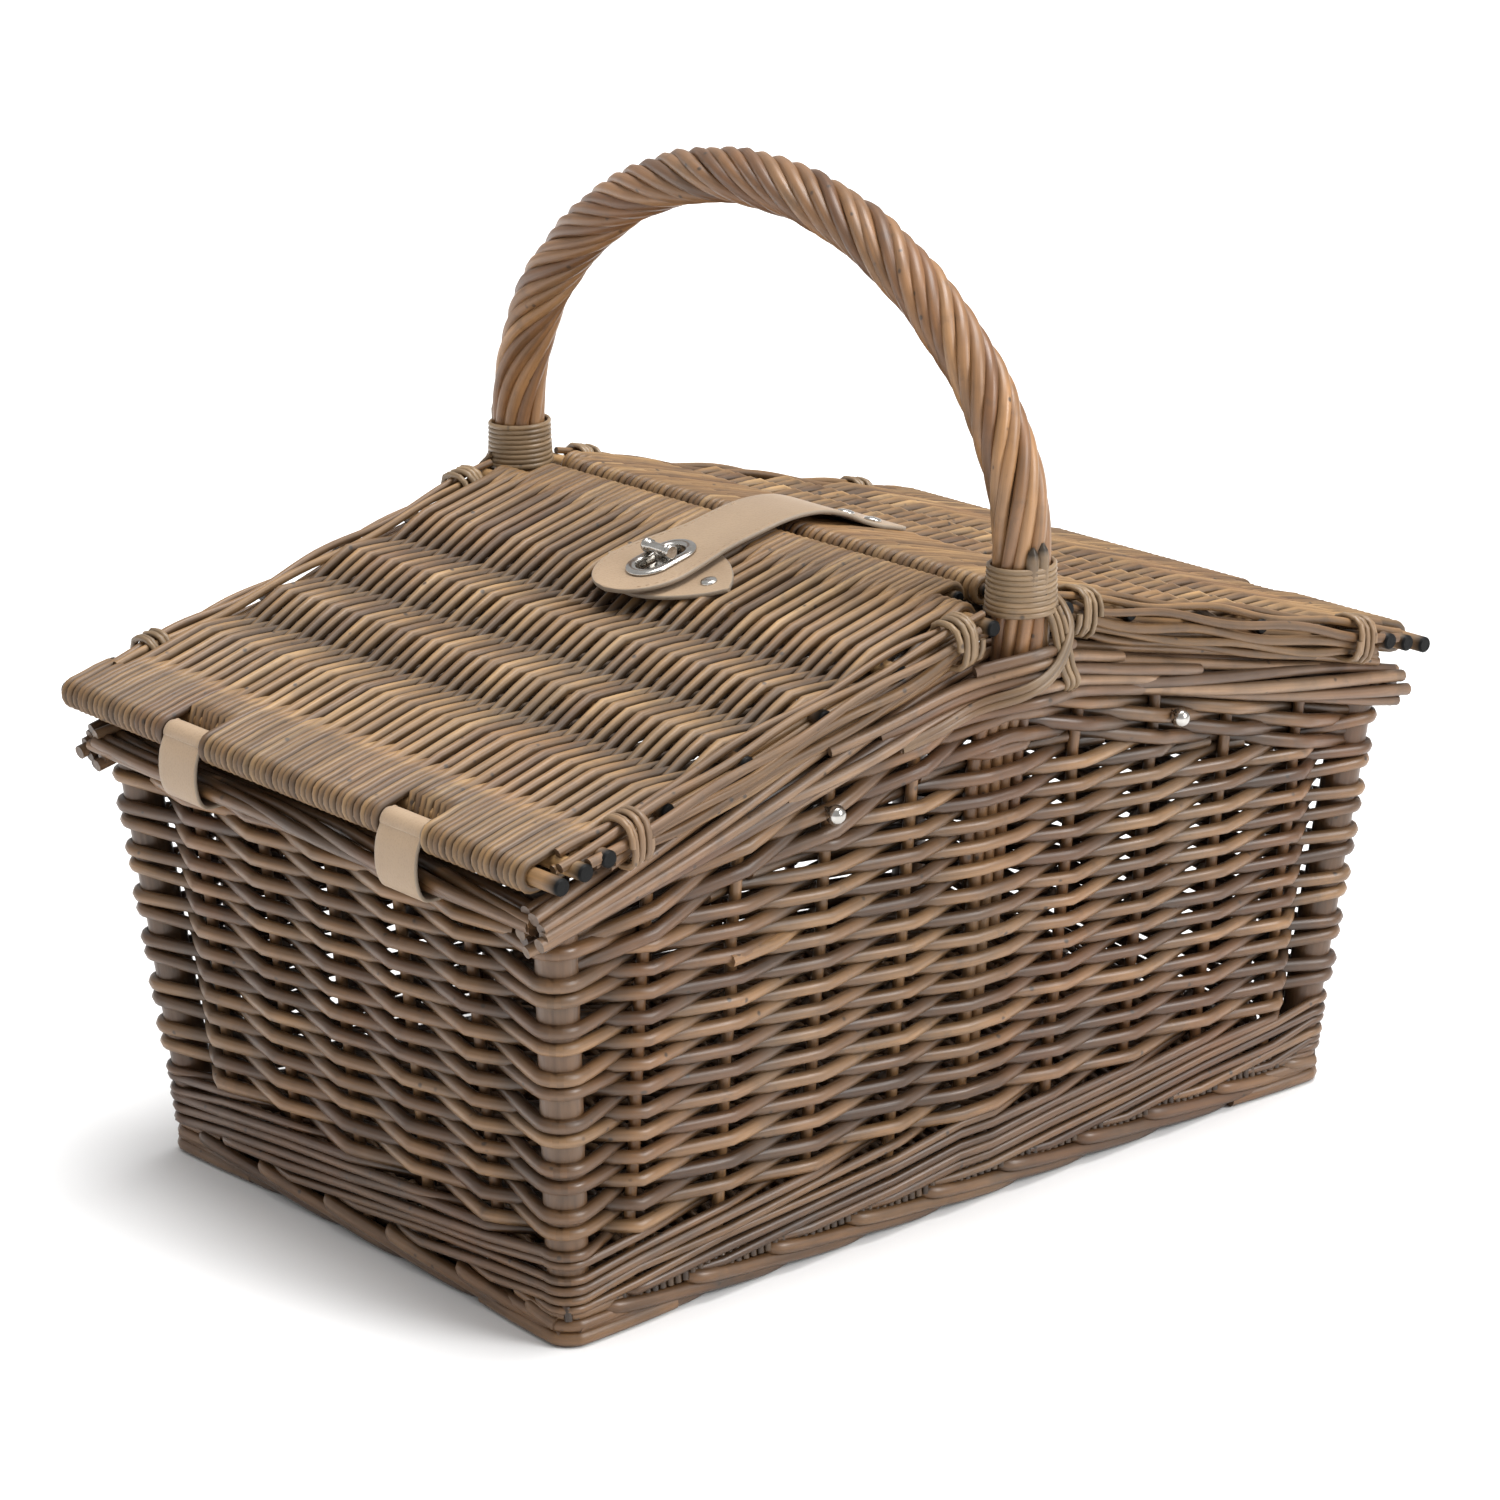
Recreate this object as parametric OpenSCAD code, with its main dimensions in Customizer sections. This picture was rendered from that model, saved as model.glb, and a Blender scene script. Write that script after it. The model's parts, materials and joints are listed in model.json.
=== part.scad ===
// Woven willow picnic basket with two hinged lids, a hoop handle and a
// turn-lock strap. Millimetres. X runs along the length, Z is up, and the
// origin is the middle of the foot on the ground.

/* [Body] */
// Length over the top border
border_l = 480; // [472:2:488]
// Width over the top border
border_w = 317; // [311:2:321]
// Height of the border's top at the gable
gable_z = 247.5; // [244:0.5:249]
// Drop of the border per mm away from the gable
gable_fall = 0.2375; // [0.23:0.0025:0.24]
// Half length of the wall's outside, carried down to the ground
foot_half_l = 215.4; // [214:0.2:216]
// Half width of the wall's outside, carried down to the ground
foot_half_w = 136.4; // [135:0.2:137]
// Outward lean of the four walls in degrees
wall_lean = 5; // [4.5:0.1:5.2]
// Thickness of the weave
wall_t = 14; // [13:0.5:14]
// Height of the foot border
foot_h = 14; // [12:1:14]
// Width of the foot border
foot_rim_w = 17; // [16:1:20]
// Thickness of the woven base
base_t = 8; // [6:1:8]

/* [Rods] */
// Radius of the thick corner posts
post_r = 10.25; // [9:0.25:10.5]
// Distance from the walls' outside to a post's axis
post_in = 10.8; // [10.6:0.1:11]
// Radius of the upright stakes
stake_r = 2.5; // [2:0.25:3]
// Gap between a rod and the bore that it runs in
rod_gap = 0.05; // [0.05:0.05:0.15]

/* [Lids] */
// Distance of each lid's hinge stick from the middle
hinge_x = 236.2; // [235:0.2:237]
// Height of each lid's hinge stick
hinge_z = 203.3; // [203:0.1:205]
// Slope of the lids in degrees
lid_slope = 14.65; // [14.5:0.05:14.8]
// Half thickness of the lid weave
lid_half_t = 6.5; // [6:0.25:6.5]
// Half width of the lid weave
lid_half_w = 148.5; // [146:0.5:148.5]
// Half length of the full-width sticks
stick_half = 167; // [166:0.5:168]
// Half length of the two sticks at the ridge
ridge_half = 134; // [130:1:135]

/* [Handle] */
// Radius of the twisted handle
handle_r = 11.7; // [11:0.1:12]
// Distance of each leg of the handle from the middle
leg_y = 160.5; // [160:0.5:161]
// Height at which the legs start to bend
leg_z = 283; // [280:1:286]
// Radius of the shoulders, to the middle of the handle
shoulder_r = 105; // [103:1:107]
// Radius of the top, to the middle of the handle
crown_r = 181; // [179:1:183]

/* [Latch] */
// Distance of the lock from the hinge stick, along the lid
lock_u = 187; // [186:0.5:190]
// Place of the strap across the lid
strap_y = -9; // [-12:0.5:-6]
// Width of the strap
strap_w = 37; // [34:1:38]
// Thickness of the leather
leather_t = 2.6; // [2:0.1:2.8]
// Radius of the tongue's round end
tongue_r = 24; // [23:0.5:25]

/* [Hidden] */
$fn = 32;
gap = 0.3;
slip = 0.05;
far = 600;
willow = [0.56, 0.44, 0.32];
pale_willow = [0.64, 0.52, 0.39];
dark_willow = [0.42, 0.33, 0.25];
leather = [0.77, 0.67, 0.54];
chrome = [0.78, 0.78, 0.80];

lean = tan(wall_lean);
floor_z = foot_h + base_t;
border_h = 20;
border_d = 20;
border_round = 6;
gable_angle = atan(gable_fall);
under_peak = gable_z - border_h / cos(gable_angle);
end_top_z = 188.5;
end_h = 10;
end_d = 21;
end_under_z = end_top_z - end_h;
half_l = border_l / 2;
half_w = border_w / 2;
post_top = under_peak - gable_fall * (foot_half_l + 180 * lean) - 1;
long_stakes = [-180, -135, -90, -45, 45, 90, 135, 180];
end_stakes = [-91.5, -45.5, 0, 45.5, 91.5];

stud_x = 95;
stud_z = 198;
stud_r = 4;
shank_r = 1.5;

liner_r = 2.95;
liner_step = 6.1;
liner_low = 50;
liner_high = 258;
tie_t = 1.6;
tie_x = [13.5, 20.5];

edge_u = [0, 11.6, 23];
cross_u = [58.1, 98.4, 138.7, 179];
top_u = 223.3;
ridge_u = [230.3, 236.9];
stick_r = 3.5;
cross_r = 3.3;
cross_half = 160;
ridge_r = 3.2;
notch_u = 227.2;
notch_half = 132;
side_r = 2.5;
side_y = [153.2, 158.6, 164];
side_n = [-1, 1, -1];
side_off = stick_r + side_r + slip;
side_u0 = -4;
side_u1 = 225;
binding_u = [32, 206];
binding_l = 11;

loop_y = 74;
loop_w = 27;
loop_t = 1.6;
loop_in = stick_r + gap;
loop_notch_u = 7.6;

patch_t = 2;
patch_half_l = 39;
patch_half_w = 20;
patch_rivet_y = 26;
patch_y = -3;
strap_n = 10;
slot_l = 24;
slot_w = 12;
plate_l = 31;
plate_w = 21;
plate_t = 1.4;
plate_n = strap_n + leather_t + slip;
bar_r = 2.6;
bar_ring_r = 3.1;
bar_l = 17;
bar_n = plate_n + plate_t + bar_ring_r + 0.4;
post_n = plate_n + plate_t;
tail_u = 182;
tail_n = lid_half_t + 0.5;
strap_rivet_u = 194.3;
strap_rivet_y = 8.5;
tongue_y = 3;
tongue_x = -58.5;

// ---- helpers ----

// A flat slot shape, long along X.
module slot2d(l, w) {
  square([l - w, w], center = true);
  for (s = [-1, 1]) translate([s * (l - w) / 2, 0]) circle(r = w / 2);
}

// A rectangle from the origin with rounded corners.
module round_rect(w, h, r) {
  translate([r, 0]) square([w - 2 * r, h]);
  translate([0, r]) square([w, h - 2 * r]);
  for (x = [r, w - r]) {
    for (y = [r, h - r]) translate([x, y]) circle(r = r);
  }
}

// Carries a drawing in X and Z along Y, from y0 to y1.
module along_y(y0, y1) {
  translate([0, y1, 0]) rotate([90, 0, 0]) linear_extrude(y1 - y0) children();
}

// Carries a drawing in Y and Z along X, from x0 to x1.
module along_x(x0, x1) {
  translate([x0, 0, 0]) rotate([90, 0, 90]) linear_extrude(x1 - x0) children();
}

// Repeats a front piece at the back.
module at_back() {
  mirror([0, 1, 0]) children();
}

// Repeats a left piece at the right.
module at_right() {
  mirror([1, 0, 0]) children();
}

// Frame of the front wall: y = 0 on its outside, +y inwards.
module in_front_wall() {
  translate([0, -foot_half_w, 0]) rotate([wall_lean, 0, 0]) children();
}

// Frame of the left wall: x = 0 on its outside, +x inwards.
module in_left_wall() {
  translate([-foot_half_l, 0, 0]) rotate([0, -wall_lean, 0]) children();
}

// Frame of the left lid: x along the slope from the hinge stick, z its normal.
module in_left_lid() {
  translate([-hinge_x, 0, hinge_z]) rotate([0, -lid_slope, 0]) children();
}

// The right lid's frame is the left one's mirror image.
module in_right_lid() {
  mirror([1, 0, 0]) in_left_lid() children();
}

// Point of the left lid's frame in world X and Z.
function on_left(u, n) = [
  -hinge_x + u * cos(lid_slope) - n * sin(lid_slope),
  hinge_z + u * sin(lid_slope) + n * cos(lid_slope)
];

// Point of the right lid's frame in world X and Z.
function on_right(u, n) = [-on_left(u, n)[0], on_left(u, n)[1]];

// ---- foot and base ----

module rim_profile() {
  r = foot_h / 2;
  intersection() {
    translate([foot_rim_w / 2, r - 0.4]) slot2d(foot_rim_w, foot_h + 0.8);
    square([foot_rim_w, foot_h]);
  }
}

module rim_front_shape() {
  x = foot_half_l + 1.6;
  y = foot_half_w + 2.1;
  intersection() {
    translate([0, -y, 0]) along_x(-x, x) rim_profile();
    linear_extrude(foot_h) polygon([
      [-x, -y],
      [x, -y],
      [x - foot_rim_w, -y + foot_rim_w],
      [-x + foot_rim_w, -y + foot_rim_w]
    ]);
  }
}

module rim_left_shape() {
  x = foot_half_l + 1.6;
  y = foot_half_w + 2.1;
  intersection() {
    translate([-x, 0, 0]) along_y(-y, y) rim_profile();
    linear_extrude(foot_h) polygon([
      [-x, -y],
      [-x + foot_rim_w, -y + foot_rim_w],
      [-x + foot_rim_w, y - foot_rim_w],
      [-x, y]
    ]);
  }
}

module foot_rim_front() {
  color(dark_willow) rim_front_shape();
}

module foot_rim_back() {
  color(dark_willow) at_back() rim_front_shape();
}

module foot_rim_left() {
  color(dark_willow) rim_left_shape();
}

module foot_rim_right() {
  color(dark_willow) at_right() rim_left_shape();
}

module base_panel() {
  x = foot_half_l - 0.4;
  y = foot_half_w - 0.4;
  color(dark_willow) translate([-x, -y, foot_h]) cube([2 * x, 2 * y, base_t]);
}

// ---- corner posts ----

// Centre line of the front left post, as a long leaning cylinder.
module post_bar(r) {
  lean2 = atan(lean * sqrt(2));
  translate([-(foot_half_l - post_in), -(foot_half_w - post_in), 0])
    rotate([0, 0, 225])
      rotate([0, lean2, 0])
        translate([0, 0, -20]) cylinder(r = r, h = 260);
}

module post_shape() {
  color(dark_willow) intersection() {
    post_bar(post_r);
    translate([-far / 2, -far / 2, floor_z]) cube([far, far, post_top - floor_z]);
  }
}

module corner_post_front_left() {
  post_shape();
}

module corner_post_front_right() {
  at_right() post_shape();
}

module corner_post_back_left() {
  at_back() post_shape();
}

module corner_post_back_right() {
  at_back() at_right() post_shape();
}

// ---- walls and stakes ----

// Outline of a long wall, between the posts and under the border.
module long_outline() {
  top = under_peak - slip;
  foot_x = foot_half_l - post_in;
  x0 = foot_x + floor_z * lean;
  zr = (top - gable_fall * foot_x) / (1 + gable_fall * lean);
  x1 = foot_x + zr * lean;
  polygon([
    [-x0, floor_z],
    [x0, floor_z],
    [x1, zr],
    [0, top],
    [-x1, zr]
  ]);
}

// Outline of an end wall, between the posts and under the border.
module end_outline() {
  y0 = foot_half_w - post_in + floor_z * lean;
  y1 = foot_half_w - post_in + end_under_z * lean;
  polygon([
    [-y0, floor_z],
    [y0, floor_z],
    [y1, end_under_z],
    [-y1, end_under_z]
  ]);
}

module long_stake_bars(r) {
  in_front_wall() for (x = long_stakes) {
    translate([x, wall_t / 2, 0]) cylinder(r = r, h = 280);
  }
}

module end_stake_bars(r) {
  in_left_wall() for (y = end_stakes) {
    translate([wall_t / 2, y, 0]) cylinder(r = r, h = 220);
  }
}

// Axis of a stud through the front wall, at z = 0 on the outside face.
module at_studs() {
  for (x = [-stud_x, stud_x]) {
    in_front_wall() translate([x, 0, stud_z / cos(wall_lean)]) rotate([90, 0, 0]) children();
  }
}

module liner_bars(r, grow) {
  y0 = -(foot_half_w + liner_low * lean - wall_t / 2 + 0.4);
  y1 = -(leg_y - 4.5);
  tilt = atan((y0 - y1) / (liner_high - liner_low));
  run = (liner_high - liner_low) / cos(tilt);
  for (k = [-2, -1, 0, 1, 2]) {
    h = abs(k) == 2 ? run - 44 : run;
    translate([k * liner_step, y0, liner_low])
      rotate([tilt, 0, 0]) translate([0, 0, -grow]) cylinder(r = r, h = h + 2 * grow);
  }
}

module long_wall_shape() {
  difference() {
    intersection() {
      in_front_wall() translate([-far / 2, 0, 0]) cube([far, wall_t, 280]);
      along_y(-220, -90) long_outline();
    }
    long_stake_bars(stake_r + rod_gap);
    post_bar(post_r + rod_gap);
    at_right() post_bar(post_r + rod_gap);
    liner_bars(liner_r + rod_gap, rod_gap);
    at_studs() translate([0, 0, -wall_t - 2]) cylinder(r = shank_r + rod_gap, h = wall_t + 6);
    tie_band(rod_gap);
    at_right() tie_band(rod_gap);
  }
}

module end_wall_shape() {
  difference() {
    intersection() {
      in_left_wall() translate([0, -far / 2, 0]) cube([wall_t, far, 220]);
      along_x(-260, -180) end_outline();
    }
    end_stake_bars(stake_r + rod_gap);
    post_bar(post_r + rod_gap);
    at_back() post_bar(post_r + rod_gap);
    for (y = [-loop_y, loop_y]) {
      translate([-260, y - loop_w / 2 - 0.8, end_under_z - loop_t - 0.6])
        cube([80, loop_w + 1.6, 10]);
    }
  }
}

module wall_front() {
  color(willow) long_wall_shape();
}

module wall_back() {
  color(willow) at_back() long_wall_shape();
}

module wall_left() {
  color(willow) end_wall_shape();
}

module wall_right() {
  color(willow) at_right() end_wall_shape();
}

module long_stakes_shape() {
  color(dark_willow) intersection() {
    long_stake_bars(stake_r);
    along_y(-220, -90) long_outline();
  }
}

module end_stakes_shape() {
  color(dark_willow) intersection() {
    end_stake_bars(stake_r);
    along_x(-260, -180) end_outline();
  }
}

module stakes_front() {
  long_stakes_shape();
}

module stakes_back() {
  at_back() long_stakes_shape();
}

module stakes_left() {
  end_stakes_shape();
}

module stakes_right() {
  at_right() end_stakes_shape();
}

// ---- top border ----

// One slope of the front border, grown outwards by grow.
module border_slope(grow, x0, x1) {
  intersection() {
    translate([0, 0, gable_z]) rotate([0, -gable_angle, 0])
      translate([0, -half_w - grow, -border_h - grow])
        along_x(-half_l - 40, 20)
          round_rect(border_d + 2 * grow, border_h + 2 * grow, border_round);
    translate([x0, -far / 2, 0]) cube([x1 - x0, far, 300]);
  }
}

// Space taken by one skein round the border left of the handle, grown by grow.
module tie_band(grow) {
  border_slope(tie_t + grow, -tie_x[1] - grow, -tie_x[0] + grow);
}

module long_border_shape() {
  difference() {
    union() {
      border_slope(0, -half_l, 0);
      at_right() border_slope(0, -half_l, 0);
    }
    liner_bars(liner_r + rod_gap, rod_gap);
  }
}

module end_border_shape() {
  y = half_w - border_d - slip;
  translate([-half_l, 0, end_under_z]) along_y(-y, y) round_rect(end_d, end_h, end_h / 2 - 0.5);
}

module border_front() {
  color(willow) long_border_shape();
}

module border_back() {
  color(willow) at_back() long_border_shape();
}

module border_left() {
  color(willow) end_border_shape();
}

module border_right() {
  color(willow) at_right() end_border_shape();
}

// ---- handle ----

// Part of a ring in the Y-Z plane, centred at y, z.
module arc_bar(y, z, r, a0, a1) {
  translate([0, y, z]) rotate([90, 0, 90]) rotate([0, 0, a0])
    rotate_extrude(angle = a1 - a0, $fn = 96) translate([r, 0]) circle(r = handle_r);
}

module handle_hoop() {
  lap = 0.3;
  sy = leg_y - shoulder_r;
  join = acos(sy / (crown_r - shoulder_r));
  cz = leg_z - (crown_r - shoulder_r) * sin(join);
  color(pale_willow) difference() {
    union() {
      for (s = [-1, 1]) {
        translate([0, s * leg_y, 230]) cylinder(r = handle_r, h = leg_z - 230);
      }
      arc_bar(sy, leg_z, shoulder_r, -lap, join + lap);
      arc_bar(-sy, leg_z, shoulder_r, 180 - join - lap, 180 + lap);
      arc_bar(0, cz, crown_r, join, 180 - join);
    }
    along_y(-far / 2, far / 2) polygon([
      [-half_l, 100],
      [half_l, 100],
      [half_l, gable_z + slip - gable_fall * half_l],
      [0, gable_z + slip],
      [-half_l, gable_z + slip - gable_fall * half_l]
    ]);
    liner_bars(liner_r + rod_gap, rod_gap);
    at_back() liner_bars(liner_r + rod_gap, rod_gap);
  }
}

module collar_shape() {
  color(pale_willow) translate([0, -leg_y, 0]) rotate_extrude($fn = 64) polygon([
    [handle_r + slip, 261],
    [15.2, 261],
    [15.2, 263.5],
    [14.6, 266],
    [14.4, 283],
    [handle_r + slip, 283]
  ]);
}

module handle_collar_front() {
  collar_shape();
}

module handle_collar_back() {
  at_back() collar_shape();
}

module handle_liners_front() {
  color(pale_willow) liner_bars(liner_r, 0);
}

module handle_liners_back() {
  color(pale_willow) at_back() liner_bars(liner_r, 0);
}

module ties_half() {
  difference() {
    tie_band(0);
    border_slope(slip, -30, 0);
  }
}

module handle_ties_front() {
  color(pale_willow) {
    ties_half();
    at_right() ties_half();
  }
}

module handle_ties_back() {
  color(pale_willow) at_back() {
    ties_half();
    at_right() ties_half();
  }
}

// ---- leather hinge loops ----

// Side view of a loop round the hinge stick and the end border, grown by g.
module loop_side(g) {
  x_out = -half_l - 0.1 - g;
  x_in = -half_l + end_d + 0.6 + g;
  stick_in = -hinge_x + loop_in + g;
  low = end_under_z - 0.3 - g;
  translate([-hinge_x, hinge_z]) circle(r = loop_in + g, $fn = 48);
  polygon([
    [x_out, hinge_z],
    [x_out, low + 2],
    [x_out + 2, low],
    [x_in - 2, low],
    [x_in, low + 2],
    [x_in, end_top_z + 0.6 + g],
    [stick_in, 192.6 + g],
    [stick_in, hinge_z]
  ]);
}

module loop_shape(y) {
  color(leather) along_y(y - loop_w / 2, y + loop_w / 2) difference() {
    loop_side(loop_t);
    loop_side(0);
  }
}

module hinge_loop_left_front() {
  loop_shape(-loop_y);
}

module hinge_loop_left_back() {
  loop_shape(loop_y);
}

module hinge_loop_right_front() {
  at_right() loop_shape(-loop_y);
}

module hinge_loop_right_back() {
  at_right() loop_shape(loop_y);
}

// ---- ball studs ----

module studs_one_side() {
  at_studs() {
    translate([0, 0, stud_r + slip]) sphere(r = stud_r);
    translate([0, 0, -wall_t - 1.2]) cylinder(r = shank_r, h = wall_t + 4);
  }
}

module washers_one_side() {
  at_studs() translate([0, 0, -wall_t - 1.2]) difference() {
    cylinder(r = 6, h = 1.15);
    translate([0, 0, -1]) cylinder(r = shank_r + rod_gap, h = 4);
  }
}

module ball_studs() {
  color(chrome) {
    studs_one_side();
    at_back() studs_one_side();
  }
}

module stud_washers() {
  color(chrome) {
    washers_one_side();
    at_back() washers_one_side();
  }
}

// ---- lids, drawn in the left lid's frame ----

// A stick across the lid at u.
module cross_bar(u, r, half) {
  translate([u, half, 0]) rotate([90, 0, 0]) cylinder(r = r, h = 2 * half);
}

module lid_profile() {
  last = ridge_u[1];
  translate([0, -lid_half_t]) square([last, 2 * lid_half_t]);
  circle(r = lid_half_t);
  translate([last, 0]) circle(r = lid_half_t);
}

module lid_slab() {
  difference() {
    along_y(-lid_half_w, lid_half_w) lid_profile();
    for (s = [-1, 1]) {
      translate([notch_u, s > 0 ? notch_half : -notch_half - 60, -20]) cube([40, 60, 40]);
      translate([-20, s * loop_y - loop_w / 2 - 1.5, -20])
        cube([20 + loop_notch_u, loop_w + 3, 40]);
    }
    for (u = edge_u) cross_bar(u, stick_r + rod_gap, stick_half + 2);
    for (u = cross_u) cross_bar(u, cross_r + rod_gap, stick_half + 2);
    cross_bar(top_u, cross_r + rod_gap, stick_half + 2);
    for (u = ridge_u) cross_bar(u, ridge_r + rod_gap, stick_half + 2);
  }
}

module edge_stick_set() {
  for (u = edge_u) cross_bar(u, stick_r, stick_half);
}

module cross_stick_set() {
  for (u = cross_u) cross_bar(u, cross_r, cross_half);
  cross_bar(top_u, cross_r, stick_half);
}

module ridge_stick_set() {
  for (u = ridge_u) cross_bar(u, ridge_r, ridge_half);
}

module side_rod_set() {
  for (s = [-1, 1]) {
    for (i = [0:2]) {
      translate([side_u0, s * side_y[i], side_n[i] * side_off])
        rotate([0, 90, 0]) cylinder(r = side_r, h = side_u1 - side_u0);
    }
  }
}

module binding_ring() {
  y0 = side_y[0] - side_r - 0.1;
  y1 = side_y[2] + side_r + 0.1;
  n = side_off + side_r + 0.1;
  along_x(0, binding_l) difference() {
    translate([y0 - 1.6, -n - 1.6]) round_rect(y1 - y0 + 3.2, 2 * n + 3.2, 4);
    translate([y0, -n]) square([y1 - y0, 2 * n]);
  }
}

module binding_set() {
  for (u = binding_u) {
    translate([u, 0, 0]) {
      binding_ring();
      mirror([0, 1, 0]) binding_ring();
    }
  }
}

// Rivet shanks through a lid at u, for places y.
module rivet_bores(u, places) {
  for (y = places) translate([u, y, -20]) cylinder(r = shank_r + rod_gap, h = 60);
}

module rivet_set(u, places, head_n) {
  for (y = places) translate([u, y, 0]) {
    translate([0, 0, head_n]) cylinder(r1 = 3.8, r2 = 2.6, h = 1.2);
    translate([0, 0, -lid_half_t - 1]) cylinder(r = shank_r, h = head_n + lid_half_t + 1.5);
    translate([0, 0, -lid_half_t - 1.2]) cylinder(r = 4.5, h = 1.15);
  }
}

patch_mid = strap_y + patch_y;
patch_places = [patch_mid - patch_rivet_y, patch_mid + patch_rivet_y];
strap_places = [strap_y - strap_rivet_y, strap_y + strap_rivet_y];

module lid_left_weave() {
  color(willow) in_left_lid() difference() {
    lid_slab();
    rivet_bores(lock_u, patch_places);
  }
}

module lid_left_edge_sticks() {
  color(dark_willow) in_left_lid() edge_stick_set();
}

module lid_left_cross_sticks() {
  color(dark_willow) in_left_lid() cross_stick_set();
}

module lid_left_ridge_sticks() {
  color(dark_willow) in_left_lid() ridge_stick_set();
}

module lid_left_side_rods() {
  color(willow) in_left_lid() side_rod_set();
}

module lid_left_bindings() {
  color(pale_willow) in_left_lid() binding_set();
}

module lid_right_weave() {
  color(willow) in_right_lid() difference() {
    lid_slab();
    rivet_bores(strap_rivet_u, strap_places);
  }
}

module lid_right_edge_sticks() {
  color(dark_willow) in_right_lid() edge_stick_set();
}

module lid_right_cross_sticks() {
  color(dark_willow) in_right_lid() cross_stick_set();
}

module lid_right_ridge_sticks() {
  color(dark_willow) in_right_lid() ridge_stick_set();
}

module lid_right_side_rods() {
  color(willow) in_right_lid() side_rod_set();
}

module lid_right_bindings() {
  color(pale_willow) in_right_lid() binding_set();
}

// ---- latch ----

module lock_patch() {
  bulge = (patch_half_l * patch_half_l + patch_half_w * patch_half_w) / (2 * patch_half_w);
  offs = bulge - patch_half_w;
  color(leather) in_left_lid() difference() {
    translate([lock_u, patch_mid, lid_half_t + slip]) linear_extrude(patch_t - slip) {
      intersection() {
        translate([-offs, 0]) circle(r = bulge, $fn = 96);
        translate([offs, 0]) circle(r = bulge, $fn = 96);
      }
    }
    rivet_bores(lock_u, patch_places);
  }
}

module patch_rivets() {
  color(chrome) in_left_lid() rivet_set(lock_u, patch_places, lid_half_t + patch_t);
}

module lock_base() {
  n0 = lid_half_t + patch_t + slip;
  color(chrome) in_left_lid() translate([lock_u, strap_y, 0]) difference() {
    union() {
      translate([0, 0, n0]) linear_extrude(1.8) slot2d(20, 9);
      translate([0, 0, n0]) cylinder(r = bar_r, h = post_n - n0);
    }
    translate([0, 0, n0 + 1]) cylinder(r = 1.3, h = 20);
  }
}

module turn_bar() {
  color(chrome) in_left_lid() translate([lock_u, strap_y, 0]) {
    translate([0, 0, post_n + 0.2]) cylinder(r = bar_r, h = bar_n - post_n - 0.2);
    translate([0, 0, post_n - 3.2]) cylinder(r = 1.1, h = 4);
    translate([0, bar_l / 2, bar_n]) rotate([90, 0, 0]) cylinder(r = bar_r, h = bar_l);
    for (y = [-bar_l / 2, -0.6 - bar_l / 4, bar_l / 4 - 0.6, bar_l / 2 - 1.2]) {
      translate([0, y + 1.2, bar_n]) rotate([90, 0, 0]) cylinder(r = bar_ring_r, h = 1.2);
    }
  }
}

module strap_rivets() {
  color(chrome) in_right_lid() rivet_set(strap_rivet_u, strap_places, tail_n + leather_t + slip);
}

// Side view of the strap: the tongue on the left, the tail on the right.
module strap_side() {
  t = leather_t * 1.03;
  arch = [[-22, 268.6], [-8, 271.6], [8, 272.3], [22, 270.3], [34, 265.8]];
  low = concat(
    [on_left(150, strap_n), on_left(207, strap_n)],
    arch,
    [on_right(200.5, tail_n), on_right(tail_u, tail_n)]
  );
  high = concat(
    [on_right(tail_u, tail_n + leather_t), on_right(200.5, tail_n + leather_t)],
    [for (i = [len(arch) - 1:-1:0]) arch[i] + [0, t]],
    [on_left(207, strap_n + leather_t), on_left(150, strap_n + leather_t)]
  );
  polygon(concat(low, high));
}

module strap_plan() {
  tail_x = on_right(tail_u, tail_n)[0] + 5;
  half = strap_w / 2;
  translate([-40, strap_y - half]) square([tail_x + 40, strap_w]);
  translate([tongue_x, strap_y + tongue_y]) circle(r = tongue_r, $fn = 64);
  polygon([
    [-12, strap_y - half],
    [-12, strap_y + half],
    [-48, strap_y + tongue_y + 21.4],
    [-48, strap_y + tongue_y - 21.4]
  ]);
}

module latch_strap() {
  color(leather) difference() {
    intersection() {
      along_y(-60, 60) strap_side();
      linear_extrude(400) strap_plan();
    }
    in_left_lid() translate([lock_u, strap_y, 0]) linear_extrude(40) {
      slot2d(slot_l + 0.6, slot_w + 0.6);
    }
    in_right_lid() for (y = strap_places) {
      translate([strap_rivet_u, y, -20]) cylinder(r = 2.1, h = 60);
    }
  }
}

module eyelet_plate() {
  color(chrome) in_left_lid() translate([lock_u, strap_y, plate_n]) {
    linear_extrude(plate_t) difference() {
      slot2d(plate_l, plate_w);
      slot2d(slot_l, slot_w);
    }
  }
}

base_panel();
foot_rim_front();
foot_rim_back();
foot_rim_left();
foot_rim_right();
wall_front();
wall_back();
wall_left();
wall_right();
stakes_front();
stakes_back();
stakes_left();
stakes_right();
corner_post_front_left();
corner_post_front_right();
corner_post_back_left();
corner_post_back_right();
border_front();
border_back();
border_left();
border_right();
handle_hoop();
handle_collar_front();
handle_collar_back();
handle_liners_front();
handle_liners_back();
handle_ties_front();
handle_ties_back();
hinge_loop_left_front();
hinge_loop_left_back();
hinge_loop_right_front();
hinge_loop_right_back();
ball_studs();
stud_washers();
lid_left_weave();
lid_left_edge_sticks();
lid_left_cross_sticks();
lid_left_ridge_sticks();
lid_left_side_rods();
lid_left_bindings();
lid_right_weave();
lid_right_edge_sticks();
lid_right_cross_sticks();
lid_right_ridge_sticks();
lid_right_side_rods();
lid_right_bindings();
lock_patch();
patch_rivets();
lock_base();
turn_bar();
strap_rivets();
latch_strap();
eyelet_plate();
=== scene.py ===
"""Looks for the woven willow picnic basket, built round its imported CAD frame.

Lengths inside this script are millimetres; a mesh is turned into metres when it is made.
"""

import json
import math

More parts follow.
